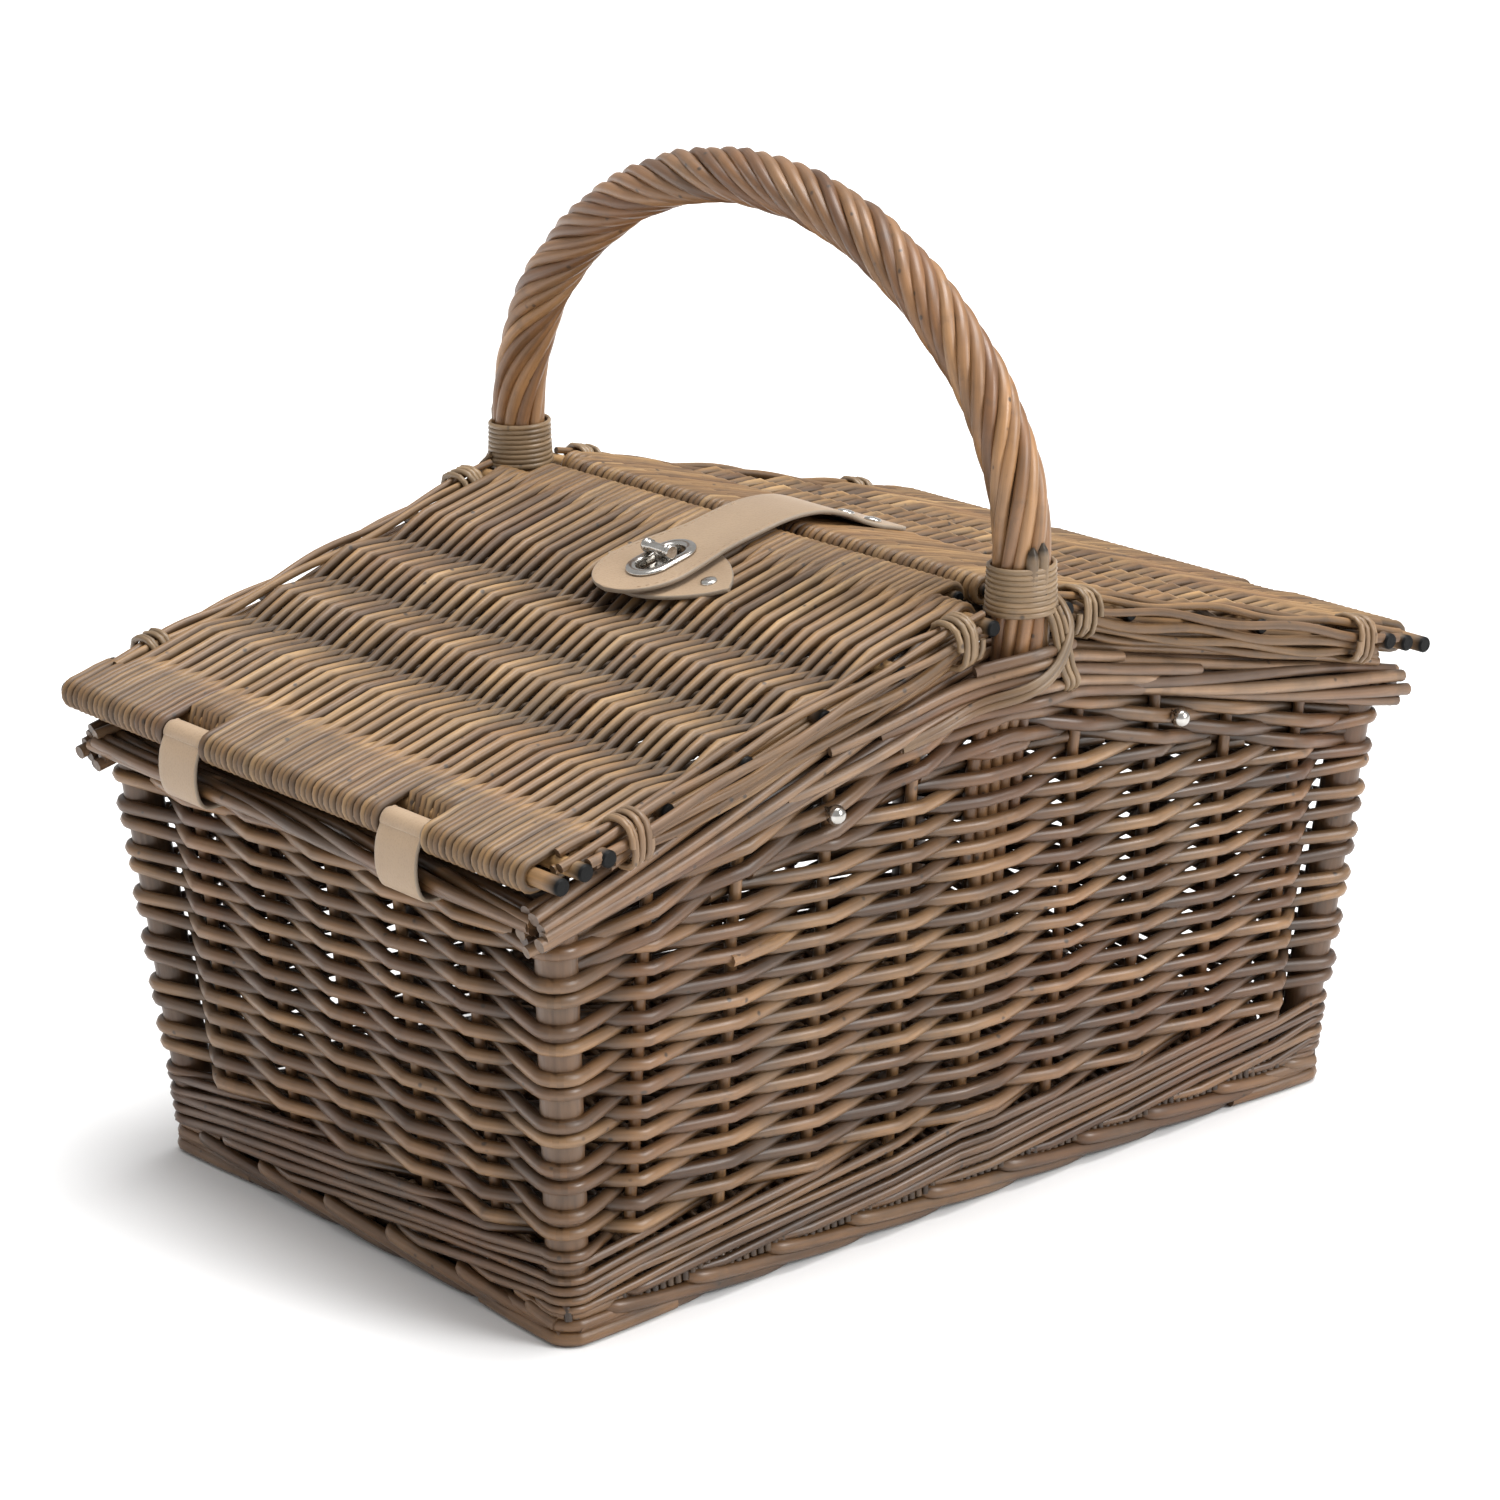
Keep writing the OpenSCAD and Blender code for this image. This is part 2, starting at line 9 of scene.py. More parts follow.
import bpy
import numpy as np
from mathutils import Matrix, Vector


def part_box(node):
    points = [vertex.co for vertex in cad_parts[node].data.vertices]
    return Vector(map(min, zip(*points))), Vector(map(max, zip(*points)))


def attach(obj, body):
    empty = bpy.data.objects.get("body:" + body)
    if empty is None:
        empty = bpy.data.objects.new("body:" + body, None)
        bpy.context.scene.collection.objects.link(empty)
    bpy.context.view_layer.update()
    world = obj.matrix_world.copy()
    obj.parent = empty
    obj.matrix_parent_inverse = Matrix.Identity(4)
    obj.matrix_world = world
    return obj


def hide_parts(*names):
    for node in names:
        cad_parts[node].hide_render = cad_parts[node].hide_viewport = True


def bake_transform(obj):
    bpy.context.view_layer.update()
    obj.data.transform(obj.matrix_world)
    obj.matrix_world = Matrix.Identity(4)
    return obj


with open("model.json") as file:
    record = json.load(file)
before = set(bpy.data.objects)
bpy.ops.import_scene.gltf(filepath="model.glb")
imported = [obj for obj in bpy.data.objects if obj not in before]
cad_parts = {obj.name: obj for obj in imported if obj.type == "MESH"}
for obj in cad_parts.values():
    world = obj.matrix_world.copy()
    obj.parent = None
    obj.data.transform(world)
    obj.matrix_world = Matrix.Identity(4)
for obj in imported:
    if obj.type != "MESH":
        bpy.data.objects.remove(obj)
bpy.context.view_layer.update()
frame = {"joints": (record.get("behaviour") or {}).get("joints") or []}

SEED = 11
MM = 0.001
rng = np.random.default_rng(SEED)


# ---- measures taken from the frame ----


def box_mm(node):
    """Lowest and highest corner of a CAD node, in millimetres."""
    lo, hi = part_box(node)
    return np.array(lo) / MM, np.array(hi) / MM


JOINTS = {j["name"]: j for j in frame["joints"]}
BORDER_LO, BORDER_HI = box_mm("border_front")
END_LO, END_HI = box_mm("border_left")
BASE_LO, BASE_HI = box_mm("base_panel")
FOOT_LO, FOOT_HI = box_mm("foot_rim_front")
COLLAR_LO, COLLAR_HI = box_mm("handle_collar_front")
HOOP_HI = box_mm("handle_hoop")[1]
STICK_HI = box_mm("lid_left_edge_sticks")[1]
STUD_HI = box_mm("ball_studs")[1]

X_AXIS, Y_AXIS, Z_AXIS = (1, 0, 0), (0, 1, 0), (0, 0, 1)

# the body: WALL_X and WALL_Y are the walls' outer faces at the ground, POST_IN the posts' distance inside
# them, WRAP_R how far from a post's middle the weavers bend round it, PLY how far from the stakes' plane they
# cross the stakes, UNDER_PEAK the height of the border's underside in the middle of a long side
GABLE_Z = BORDER_HI[2]
HALF_L = BORDER_HI[0]
HALF_W = -BORDER_LO[1]
BORDER_D = BORDER_HI[1] - BORDER_LO[1]
BORDER_H = 20
GABLE_FALL = 0.2375
UNDER_PEAK = GABLE_Z - BORDER_H * math.hypot(1, GABLE_FALL)
FLOOR_Z = BASE_HI[2]
LEAN = math.tan(math.radians(5))
WALL_X = BASE_HI[0] + 0.4
WALL_Y = BASE_HI[1] + 0.4
WALL_T = 14
POST_R = 9.7
POST_IN = 10.8
POST_SEEN_R = POST_R - 1.4
WRAP_R = 8.9
STAKE_R = 2.5
WEAVER_R = 2.98
STEPS = 6
PLY = STAKE_R + WEAVER_R - 0.1
LINER_HALF = 9
WALE_TOP = 44.0
LONG_STAKES = (-180, -135, -90, -45, 0, 45, 90, 135, 180)
END_STAKES = (-91.5, -45.5, 0, 45.5, 91.5)
LONG_SIDES = (("front", -1), ("back", 1))
SIGNS = {"front": -1, "back": 1, "left": -1, "right": 1}

# the 32 crossings round the body: each side with the first and last of its own
CROSSINGS = 32
RING_SIDES = (("front", 31, 9), ("right", 9, 15), ("back", 15, 25), ("left", 25, 31))

# the handle: its legs stand LEG_Y from the middle, up to LEG_Z, and it arches in three arcs
HANDLE_R = 11.7
LEG_Y = HOOP_HI[1] - HANDLE_R
LEG_Z = COLLAR_HI[2]
SHOULDER_R = 105
CROWN_R = 181

# the lids: U runs up the slope from the hinge stick, Y across and N out of the lid. LID_HALF is half the
# width of the weave, and up to NOTCH_HALF from the middle it goes round the ridge sticks, beside the handle
HINGE = np.array(JOINTS["lid_left_hinge"]["pos_m"]) / MM
NORMAL = np.array(JOINTS["lock_turn"]["axis"], float)
RIGHT_NORMAL = NORMAL * (-1, 0, 1)
SLOPE = math.atan2(-NORMAL[0], NORMAL[2])
LOCK = np.array(JOINTS["lock_turn"]["pos_m"]) / MM
LOCK_U = (LOCK[0] - HINGE[0]) * math.cos(SLOPE) + (LOCK[2] - HINGE[2]) * math.sin(SLOPE)
STRAP_HINGE = np.array(JOINTS["strap_lift"]["pos_m"]) / MM
STICK_HALF = STICK_HI[1]
EDGE_U = (0, 11.6, 23)
CROSS_U = (58.1, 98.4, 138.7, 179)
TOP_U = 223.3
RIDGE_U = (230.3, 236.9)
RIDGE_BACK = 1.2
RIDGE_R = 2.8
CROSS_HALF = 160
STICK_R = 3.5
LID_HALF = 148.5
NOTCH_HALF = 132
LID_TOP = 6.5

# leather: STRAP_T is the CAD strap's thickness, STRAP_SEEN_T that of the mesh, whose top is level with it
LOOP_Y = 74.0
LOOP_WIDTH = 26.6
LOOP_T = 1.6
STRAP_Y = LOCK[1]
STRAP_T = 2.6
STRAP_SEEN_T = 2.0
TONGUE_R = 24.0
NECK_HALF = 18.5
PATCH_Y = -3
PATCH_T = 2.0
PATCH_HALF = 39.0
SLOT_HALF = 6.0


def on_lid(side, u, y, n):
    """Points of a lid: u up the slope from the hinge stick, y across, n out of it. side is -1 for left."""
    u, y, n = np.broadcast_arrays(np.asarray(u, float), np.asarray(y, float), np.asarray(n, float))
    x = HINGE[0] + u * math.cos(SLOPE) - n * math.sin(SLOPE)
    z = HINGE[2] + u * math.sin(SLOPE) + n * math.cos(SLOPE)
    return np.stack([-side * x, y, z], -1)


# ---- materials ----


def new_material(name):
    """An empty node material with its Principled shader and output."""
    material = bpy.data.materials.new(name)
    material.use_nodes = True
    tree = material.node_tree
    tree.nodes.clear()
    shader = tree.nodes.new("ShaderNodeBsdfPrincipled")
    output = tree.nodes.new("ShaderNodeOutputMaterial")
    tree.links.new(shader.outputs["BSDF"], output.inputs["Surface"])
    return material, tree, shader


def node(tree, kind, **settings):
    """A new node with its properties set."""
    made = tree.nodes.new(kind)
    for key, value in settings.items():
        setattr(made, key, value)
    return made


def attribute(tree, name, output="Fac"):
    """The output of a mesh attribute."""
    return node(tree, "ShaderNodeAttribute", attribute_name=name).outputs[output]


def noise(tree, vector, scale, detail, rough, stretch=None):
    """Noise of a vector, which stretch can multiply first."""
    if stretch:
        by = node(tree, "ShaderNodeVectorMath", operation="MULTIPLY")
        by.inputs[1].default_value = stretch
        tree.links.new(vector, by.inputs[0])
        vector = by.outputs[0]
    made = node(tree, "ShaderNodeTexNoise")
    made.inputs["Scale"].default_value = scale
    made.inputs["Detail"].default_value = detail
    made.inputs["Roughness"].default_value = rough
    tree.links.new(vector, made.inputs["Vector"])
    return made.outputs["Fac"]


def ramp(tree, value, stops):
    """A colour ramp; stops are (position, colour)."""
    made = node(tree, "ShaderNodeValToRGB")
    elements = made.color_ramp.elements
    while len(elements) < len(stops):
        elements.new(0.5)
    for element, (position, colour) in zip(elements, stops):
        element.position = position
        element.color = (*colour, 1.0)
    tree.links.new(value, made.inputs["Fac"])
    return made.outputs["Color"]


def grey(value):
    """A grey as a colour."""
    return (value, value, value)


def mix(tree, factor, a, b, how="MIX"):
    """Mixes two colours; each of factor, a and b is a socket or a constant."""
    made = node(tree, "ShaderNodeMix", data_type="RGBA", blend_type=how)
    for socket, value in ((made.inputs[0], factor), (made.inputs[6], a), (made.inputs[7], b)):
        if isinstance(value, bpy.types.NodeSocket):
            tree.links.new(value, socket)
        elif isinstance(value, (int, float)):
            socket.default_value = value
        else:
            socket.default_value = (*value, 1.0)
    return made.outputs[2]


def bump(tree, shader, height, strength, distance):
    """Feeds a height to the shader's normal."""
    made = node(tree, "ShaderNodeBump")
    made.inputs["Strength"].default_value = strength
    made.inputs["Distance"].default_value = distance
    tree.links.new(height, made.inputs["Height"])
    tree.links.new(made.outputs["Normal"], shader.inputs["Normal"])


def willow(name, tones, rough, stain=0.5, coat=0.0, painted_light_below=None):
    """Stained willow rod: a tone for each rod, streaks along it, weathering, knots, dark cut ends, and shade
    painted into its hollows. The last argument is a height range in metres below which the rods are painted
    paler, as painted light."""
    material, tree, shader = new_material(name)
    grain = attribute(tree, "grain", "Vector")
    place = node(tree, "ShaderNodeTexCoord").outputs["Object"]
    tone = ramp(tree, attribute(tree, "rod"), tones)

    # painted light: the rods are painted paler below this height range, on the handle's legs
    if painted_light_below:
        height = node(tree, "ShaderNodeSeparateXYZ")
        tree.links.new(place, height.inputs[0])
        fade = node(tree, "ShaderNodeMapRange")
        fade.inputs["From Min"].default_value, fade.inputs["From Max"].default_value = painted_light_below
        tree.links.new(height.outputs["Z"], fade.inputs["Value"])
        pale = ramp(tree, fade.outputs["Result"], [(0.0, (1.7, 1.78, 1.75)), (1.0, grey(1.0))])
        tone = mix(tree, 1.0, tone, pale, "MULTIPLY")

    streak = noise(tree, grain, 420, 5, 0.62, (0.045, 1, 1))
    streak_grey = ramp(tree, streak, [(0.3, grey(0.62)), (0.52, grey(0.98)), (0.72, grey(1.22))])
    colour = mix(tree, 0.85, tone, streak_grey, "MULTIPLY")

    along = noise(tree, grain, 55, 3, 0.5, (1, 0.3, 0.3))
    patches = ramp(tree, along, [(0.35, grey(0.72)), (0.6, grey(1.08))])
    colour = mix(tree, 0.75, colour, patches, "MULTIPLY")

    weather = noise(tree, place, 14, 4, 0.6)
    silver = ramp(tree, weather, [(0.5, grey(0)), (0.72, grey(1))])
    colour = mix(tree, silver, colour, mix(tree, 0.2, colour, (0.20, 0.155, 0.11)))
    warm = ramp(tree, noise(tree, place, 9, 3, 0.5), [(0.5, grey(0)), (0.7, grey(1))])
    colour = mix(tree, warm, colour, mix(tree, 0.35, colour, (0.19, 0.075, 0.03)))

    spots = node(tree, "ShaderNodeTexVoronoi", feature="F1")
    spots.inputs["Scale"].default_value = 95
    tree.links.new(grain, spots.inputs["Vector"])
    knot = ramp(tree, spots.outputs["Distance"], [(0.06, grey(0.85)), (0.12, grey(0))])
    colour = mix(tree, knot, colour, (0.035, 0.022, 0.014))

    grime = noise(tree, place, 75, 5, 0.7)
    dark = ramp(tree, grime, [(0.56, grey(0)), (0.74, grey(stain))])
    colour = mix(tree, dark, colour, (0.06, 0.042, 0.03))

    # painted shade: darkens the colour by the mesh's shade attribute, in the weave's hollows and where rods
    # touch
    colour = mix(tree, attribute(tree, "painted_shade"), colour, mix(tree, 0.8, colour, (0.016, 0.009, 0.004)))
    cut = attribute(tree, "cut")
    colour = mix(tree, cut, colour, (0.006, 0.006, 0.006))
    tree.links.new(colour, shader.inputs["Base Color"])

    shine = ramp(tree, streak, [(0.3, grey(rough[1])), (0.7, grey(rough[0]))])
    tree.links.new(shine, shader.inputs["Roughness"])
    polish = ramp(tree, cut, [(0.5, grey(0.55)), (1.0, grey(0.12))])
    tree.links.new(polish, shader.inputs["Specular IOR Level"])
    shader.inputs["Coat Weight"].default_value = coat
    shader.inputs["Coat Roughness"].default_value = 0.35
    bump(tree, shader, streak, 0.35, 0.0006)
    return material


def leather(name):
    """Tan leather: fine grain, soft mottling, a greyer cut edge and a worn sheen."""
    material, tree, shader = new_material(name)
    place = node(tree, "ShaderNodeTexCoord").outputs["Object"]
    mottle = noise(tree, place, 28, 4, 0.55)
    face = ramp(tree, mottle, [(0.32, (0.305, 0.205, 0.122)), (0.7, (0.355, 0.246, 0.150))])
    pores = node(tree, "ShaderNodeTexVoronoi", feature="F1")
    pores.inputs["Scale"].default_value = 900
    tree.links.new(place, pores.inputs["Vector"])
    pore_grey = ramp(tree, pores.outputs["Distance"], [(0.0, grey(0.86)), (0.45, grey(1.0))])
    face = mix(tree, 1.0, face, pore_grey, "MULTIPLY")
    edge = attribute(tree, "cut")
    colour = mix(tree, edge, face, (0.255, 0.20, 0.145))
    tree.links.new(colour, shader.inputs["Base Color"])
    rough = ramp(tree, mottle, [(0.3, grey(0.46)), (0.7, grey(0.58))])
    tree.links.new(rough, shader.inputs["Roughness"])
    shader.inputs["Sheen Weight"].default_value = 0.15
    bump(tree, shader, pores.outputs["Distance"], 0.25, 0.0003)
    return material


def bright_metal(name):
    """Nickel-plated fittings with faint handling marks."""
    material, tree, shader = new_material(name)
    place = node(tree, "ShaderNodeTexCoord").outputs["Object"]
    smudge = noise(tree, place, 160, 4, 0.6)
    colour = ramp(tree, smudge, [(0.35, (0.44, 0.42, 0.39)), (0.7, (0.60, 0.58, 0.55))])
    tree.links.new(colour, shader.inputs["Base Color"])
    shader.inputs["Metallic"].default_value = 1.0
    rough = ramp(tree, smudge, [(0.3, grey(0.17)), (0.7, grey(0.26))])
    tree.links.new(rough, shader.inputs["Roughness"])
    return material


WALL_TONES = [
    (0.0, (0.066, 0.030, 0.011)),
    (0.3, (0.121, 0.058, 0.022)),
    (0.6, (0.178, 0.091, 0.036)),
    (1.0, (0.272, 0.151, 0.066)),
]
BORDER_TONES = [
    (0.0, (0.090, 0.046, 0.022)),
    (0.4, (0.150, 0.082, 0.041)),
    (1.0, (0.250, 0.148, 0.078)),
]
LID_TONES = [
    (0.0, (0.145, 0.072, 0.026)),
    (0.35, (0.235, 0.126, 0.047)),
    (0.7, (0.312, 0.176, 0.068)),
    (1.0, (0.400, 0.240, 0.102)),
]
HANDLE_TONES = [
    (0.0, (0.095, 0.041, 0.016)),
    (0.4, (0.157, 0.074, 0.030)),
    (0.75, (0.213, 0.108, 0.046)),
    (1.0, (0.291, 0.158, 0.073)),
]
SKEIN_TONES = [
    (0.0, (0.090, 0.050, 0.022)),
    (0.5, (0.175, 0.110, 0.054)),
    (1.0, (0.300, 0.200, 0.108)),
]
WALL_WILLOW = willow("stained_willow", WALL_TONES, (0.32, 0.52), 0.55, 0.1)
BORDER_WILLOW = willow("border_willow", BORDER_TONES, (0.36, 0.56), 0.5, 0.05)
LID_WILLOW = willow("lid_willow", LID_TONES, (0.42, 0.62), 0.45)
# painted light: the handle is painted paler from 0.44 m down to 0.30 m, on its legs
HANDLE_WILLOW = willow("handle_willow", HANDLE_TONES, (0.34, 0.54), 0.45, 0.1, (0.30, 0.44))
SKEIN_WILLOW = willow("skein_willow", SKEIN_TONES, (0.34, 0.55), 0.4, 0.05)
LEATHER = leather("tan_leather")
METAL = bright_metal("bright_metal")


# ---- meshes made of rods ----


class Rods:
    """Gathers swept rods, lathed shapes and lofts, and makes one mesh of them."""

    def __init__(self):
        self.co, self.grain, self.rod, self.cut, self.painted_shade = [], [], [], [], []
        self.loops, self.sizes = [], []
        self.total = 0

    def rings(self, rings, grain, rod, cut, close_path=False, caps=(1.0, 1.0), painted_shade=0.0):
        """Skins rings (N, M, 3) of a sweep. cut is a number for each ring; caps is the cut at the two closed
        ends, or None for open ones."""
        n, m = rings.shape[:2]
        first = self.total
        self.push(rings.reshape(-1, 3), grain.reshape(-1, 3), rod, np.repeat(cut, m))
        # painted shade: one value for each ring or each vertex, which darkens the colour
        painted_shade = np.asarray(painted_shade, float)
        if painted_shade.ndim < 2:
            painted_shade = np.broadcast_to(painted_shade, (n,))[:, None]
        self.painted_shade.append(np.broadcast_to(painted_shade, (n, m)).ravel())
        rows = n if close_path else n - 1
        i, j = np.meshgrid(np.arange(rows), np.arange(m), indexing="ij")
        i2, j2 = (i + 1) % n, (j + 1) % m
        quads = np.stack([i * m + j, i * m + j2, i2 * m + j2, i2 * m + j], -1).reshape(-1, 4)
        self.loops.append((quads + first).ravel())
        self.sizes.append(np.full(len(quads), 4))
        if close_path or caps is None:
            return
        for end, value, order in ((0, caps[0], np.arange(m)[::-1]), (-1, caps[1], np.arange(m))):
            first = self.total
            self.push(rings[end], grain[end], rod, np.full(m, value))
            self.painted_shade.append(np.zeros(m))
            self.loops.append(order + first)
            self.sizes.append(np.array([m]))

    def push(self, co, grain, rod, cut):
        """Adds vertices with their attributes."""
        self.co.append(co)
        self.grain.append(grain)
        self.rod.append(np.full(len(co), rod))
        self.cut.append(cut)
        self.total += len(co)

    def tube(
        self, path, radius, sides, ref=None, tint=None,
        flat=1, closed=False, ends=0, painted=0, painted_shade=0, crease_shade=0,
    ):
        """A rod along path. radius is one number or one for each point; flat squashes it along the second
        axis; ends is how dark its cut ends are, painted the length of dark paint at them. The last two
        arguments paint shade into its colour: by how far each point lies in the weave's hollows, and
        where its neighbours along ref touch it."""
        path = np.asarray(path, float)
        tangent = np.gradient(path, axis=0)
        if closed:
            tangent = np.roll(path, -1, 0) - np.roll(path, 1, 0)
        tangent /= np.linalg.norm(tangent, axis=1, keepdims=True) + 1e-9
        if ref is None:
            side = transported(tangent)
        else:
            side = np.cross(np.broadcast_to(np.asarray(ref, float), tangent.shape), tangent)
            side /= np.linalg.norm(side, axis=1, keepdims=True) + 1e-9
        up = np.cross(tangent, side)
        angle = np.arange(sides) * 2 * math.pi / sides
        radius = np.broadcast_to(np.asarray(radius, float), (len(path),))
        a = np.cos(angle)[None, :, None] * side[:, None, :]
        b = np.sin(angle)[None, :, None] * up[:, None, :] * flat
        rings = path[:, None, :] + (a + b) * radius[:, None, None]
        along = lengths(path)
        tint = rng.random() if tint is None else tint
        shift = rng.random(2) * 9
        lengthwise = np.broadcast_to(along[:, None] * MM + shift[0], (len(path), sides))
        round_x = np.cos(angle)[None, :] * radius[:, None] * MM + shift[1]
        grain = np.stack([lengthwise, round_x, np.sin(angle)[None, :] * radius[:, None] * MM], -1)
        cut = np.zeros(len(path))
        if painted:
            cut = np.where((along < painted) | (along > along[-1] - painted), ends, 0.0)
        # painted shade on the sides of the rod that face its neighbours along ref
        crevice_shade = crease_shade * np.sin(angle)[None, :] ** 2
        painted_shade = np.minimum(np.broadcast_to(painted_shade, (len(path),))[:, None] + crevice_shade, 1.0)
        self.rings(rings, grain, tint, cut, closed, None if closed else (ends, ends), painted_shade)

    def lathe(self, profile, origin, axis, sides=24):
        """A turned shape: profile is (distance along the axis, radius)."""
        axis = unit(np.asarray(axis, float))
        side = unit(np.cross(axis, Y_AXIS if abs(axis[1]) < 0.9 else X_AXIS))
        angle = np.arange(sides) * 2 * math.pi / sides
        spokes = np.cos(angle)[:, None] * side + np.sin(angle)[:, None] * np.cross(axis, side)
        rings = np.array([origin + n * axis + r * spokes for n, r in profile])
        self.rings(rings, rings * MM, 0.5, np.zeros(len(profile)), caps=(0.0, 0.0))

    def object(self, name, body, nodes, slot, material):
        """Makes the mesh, puts it on its body and has it stand for the CAD nodes."""
        mesh = bpy.data.meshes.new(name)
        co, loops = np.concatenate(self.co) * MM, np.concatenate(self.loops)
        sizes = np.concatenate(self.sizes)
        mesh.vertices.add(len(co))
        mesh.vertices.foreach_set("co", co.ravel())
        mesh.loops.add(len(loops))
        mesh.loops.foreach_set("vertex_index", loops)
        mesh.polygons.add(len(sizes))
        mesh.polygons.foreach_set("loop_start", np.concatenate([[0], np.cumsum(sizes)[:-1]]))
        mesh.polygons.foreach_set("use_smooth", np.full(len(sizes), True))
        mesh.update(calc_edges=True)
        for key, kind, data, field in (
            ("grain", "FLOAT_VECTOR", self.grain, "vector"),
            ("rod", "FLOAT", self.rod, "value"),
            ("cut", "FLOAT", self.cut, "value"),
            ("painted_shade", "FLOAT", self.painted_shade, "value"),
        ):
            mesh.attributes.new(key, kind, "POINT").data.foreach_set(field, np.concatenate(data).ravel())
        mesh.materials.append(material)
        piece = bpy.data.objects.new(name, mesh)
        bpy.context.scene.collection.objects.link(piece)
        if body:
            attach(piece, body)
        if nodes:
            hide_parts(*nodes)
        return piece


def unit(vectors):
    """Vectors scaled to length one."""
    return vectors / np.linalg.norm(vectors, axis=-1, keepdims=True)


def transported(tangent):
    """A side vector carried along a path without twisting."""
    side = np.cross(tangent[0], Z_AXIS if abs(tangent[0][2]) < 0.9 else X_AXIS)
    out = []
    for t in tangent:
        side = unit(side - t * (side @ t))
        out.append(side)
    return np.array(out)


def lengths(points):
    """The length along a path up to each of its points."""
    return np.concatenate([[0], np.cumsum(np.linalg.norm(np.diff(points, axis=0), axis=1))])


def at_lengths(points, s):
    """Points of a path at lengths s along it."""
    step = lengths(points)
    return np.stack([np.interp(s, step, column) for column in points.T], -1)


def evenly(points, count):
    """A path cut anew into count evenly spaced points, and the length along it up to each."""
    s = np.linspace(0, lengths(points)[-1], count)
    return at_lengths(points, s), s


def refine(keys, steps, closed=False):
    """A smooth path through keys (Catmull-Rom), with steps points for each span."""
    keys = np.asarray(keys, float)
    if closed:
        padded = np.vstack([keys[-1], keys, keys[:2]])
    else:
        padded = np.vstack([2 * keys[0] - keys[1], keys, 2 * keys[-1] - keys[-2]])
    t = np.arange(steps)[:, None] / steps
    spans = []
    for i in range(len(padded) - 3):
        p0, p1, p2, p3 = padded[i : i + 4]
        square, cube = 2 * p0 - 5 * p1 + 4 * p2 - p3, 3 * p1 - p0 - 3 * p2 + p3
        spans.append(0.5 * (2 * p1 + (p2 - p0) * t + square * t * t + cube * t**3))
    return np.vstack(spans if closed else [*spans, keys[-1:]])


def wave(steps):
    """How far a weaver has gone between two crossings, at steps points: part straight, part eased."""
    straight = 0.75
    t = np.arange(steps) / steps
    return straight * t + (1 - straight) * (1 - np.cos(math.pi * t)) / 2


def woven(places, outs, steps=STEPS):
    """Points (place, out) of a weaver through crossings at places, where it lies outs mm to a side."""
    points = []
    for a in range(len(places) - 1):
        for f, g in zip(np.arange(steps) / steps, wave(steps)):
            place = places[a] + (places[a + 1] - places[a]) * f
            points.append((place, outs[a] + (outs[a + 1] - outs[a]) * g))
    return [*points, (places[-1], outs[-1])]


def alternate(i):
    """1 for even and -1 for odd."""
    return 1 if i % 2 == 0 else -1


# ---- woven walls ----


def ring_crossings(z):
    """Centre, outward direction and kind of each crossing round the basket at height z."""
    hx, hy = WALL_X + z * LEAN - WALL_T / 2, WALL_Y + z * LEAN - WALL_T / 2
    px, py = WALL_X - POST_IN + z * LEAN, WALL_Y - POST_IN + z * LEAN
    found = []
    for turn in (1, -1):
        for x in LONG_STAKES:
            found.append(((turn * x, -turn * hy), (0, -turn), "stake" if x else "liners"))
        found.append(((turn * px, -turn * py), (turn, -turn), "post"))
        for y in END_STAKES:
            found.append(((turn * hx, turn * y), (turn, 0), "stake"))
        found.append(((turn * px, turn * py), (turn, turn), "post"))
    return found


def ring_row(z, outside, reach, dz, post_dz):
    """Points of one row round the basket. outside[i] is 1 where it passes outside crossing i, else -1.
    Returns the points and, for each crossing, the index of its middle point."""
    anchors, middles = [], []
    for i, (centre, out, kind) in enumerate(ring_crossings(z)):
        centre, out = np.array(centre, float), np.array(out, float)
        centre = centre + out * dz[i] * LEAN
        out = unit(out)
        if kind != "post":
            p = centre + out * outside[i] * reach
            ahead = np.array([-out[1], out[0]])
            for k in (0,) if kind == "stake" else (-1, 0, 1):
                if k == 0:
                    middles.append(len(anchors))
                anchors.append((*(p + ahead * k * LINER_HALF), z + dz[i]))
            continue
        outer = outside[i] > 0
        spread = 60 if outer else 14
        far_out = WRAP_R if outer else POST_R + WEAVER_R
        for k, turn in enumerate(np.radians(np.linspace(-spread, spread, 9)) * outside[i]):
            c, s = math.cos(turn), math.sin(turn)
            d = np.array([c * out[0] - s * out[1], s * out[0] + c * out[1]])
            if k == 4:
                middles.append(len(anchors))
            p = centre + d * far_out * outside[i]
            anchors.append((*p, z + dz[i] + post_dz * outer))
    return np.array(anchors), middles


def shade_in_wall(points):
    """Painted shade for points, by how far they lie inside the stakes' plane, from 0 outside to 1."""
    lean = points[:, 2] * LEAN - WALL_T / 2
    off = np.maximum(np.abs(points[:, 1]) - WALL_Y - lean, np.abs(points[:, 0]) - WALL_X - lean)
    return np.clip(0.4 - off / 8, 0, 0.9)


def smooth_row(anchors, middles):
    """Fills the spans between crossings, each swinging from one side of the stakes to the other."""
    points, at = [], []
    n = len(anchors)
    for a in range(n):
        if a in middles:
            at.append(sum(len(span) for span in points))
        p, q = anchors[a], anchors[(a + 1) % n]
        steps = STEPS if np.linalg.norm(q - p) > 12 else 1
        span = p[None, :] + (q - p)[None, :] * (np.arange(steps) / steps)[:, None]
        axis = 1 if abs(q[0] - p[0]) > abs(q[1] - p[1]) else 0
        span[:, axis] = p[axis] + (q[axis] - p[axis]) * wave(steps)
        points.append(span)
    return np.concatenate(points), at


def take(points, start, stop, before, after):
    """Points from index start round to stop, with some more before and after."""
    n = len(points)
    if stop <= start:
        stop += n
    return points[np.arange(start - before, stop + 1 + after) % n]


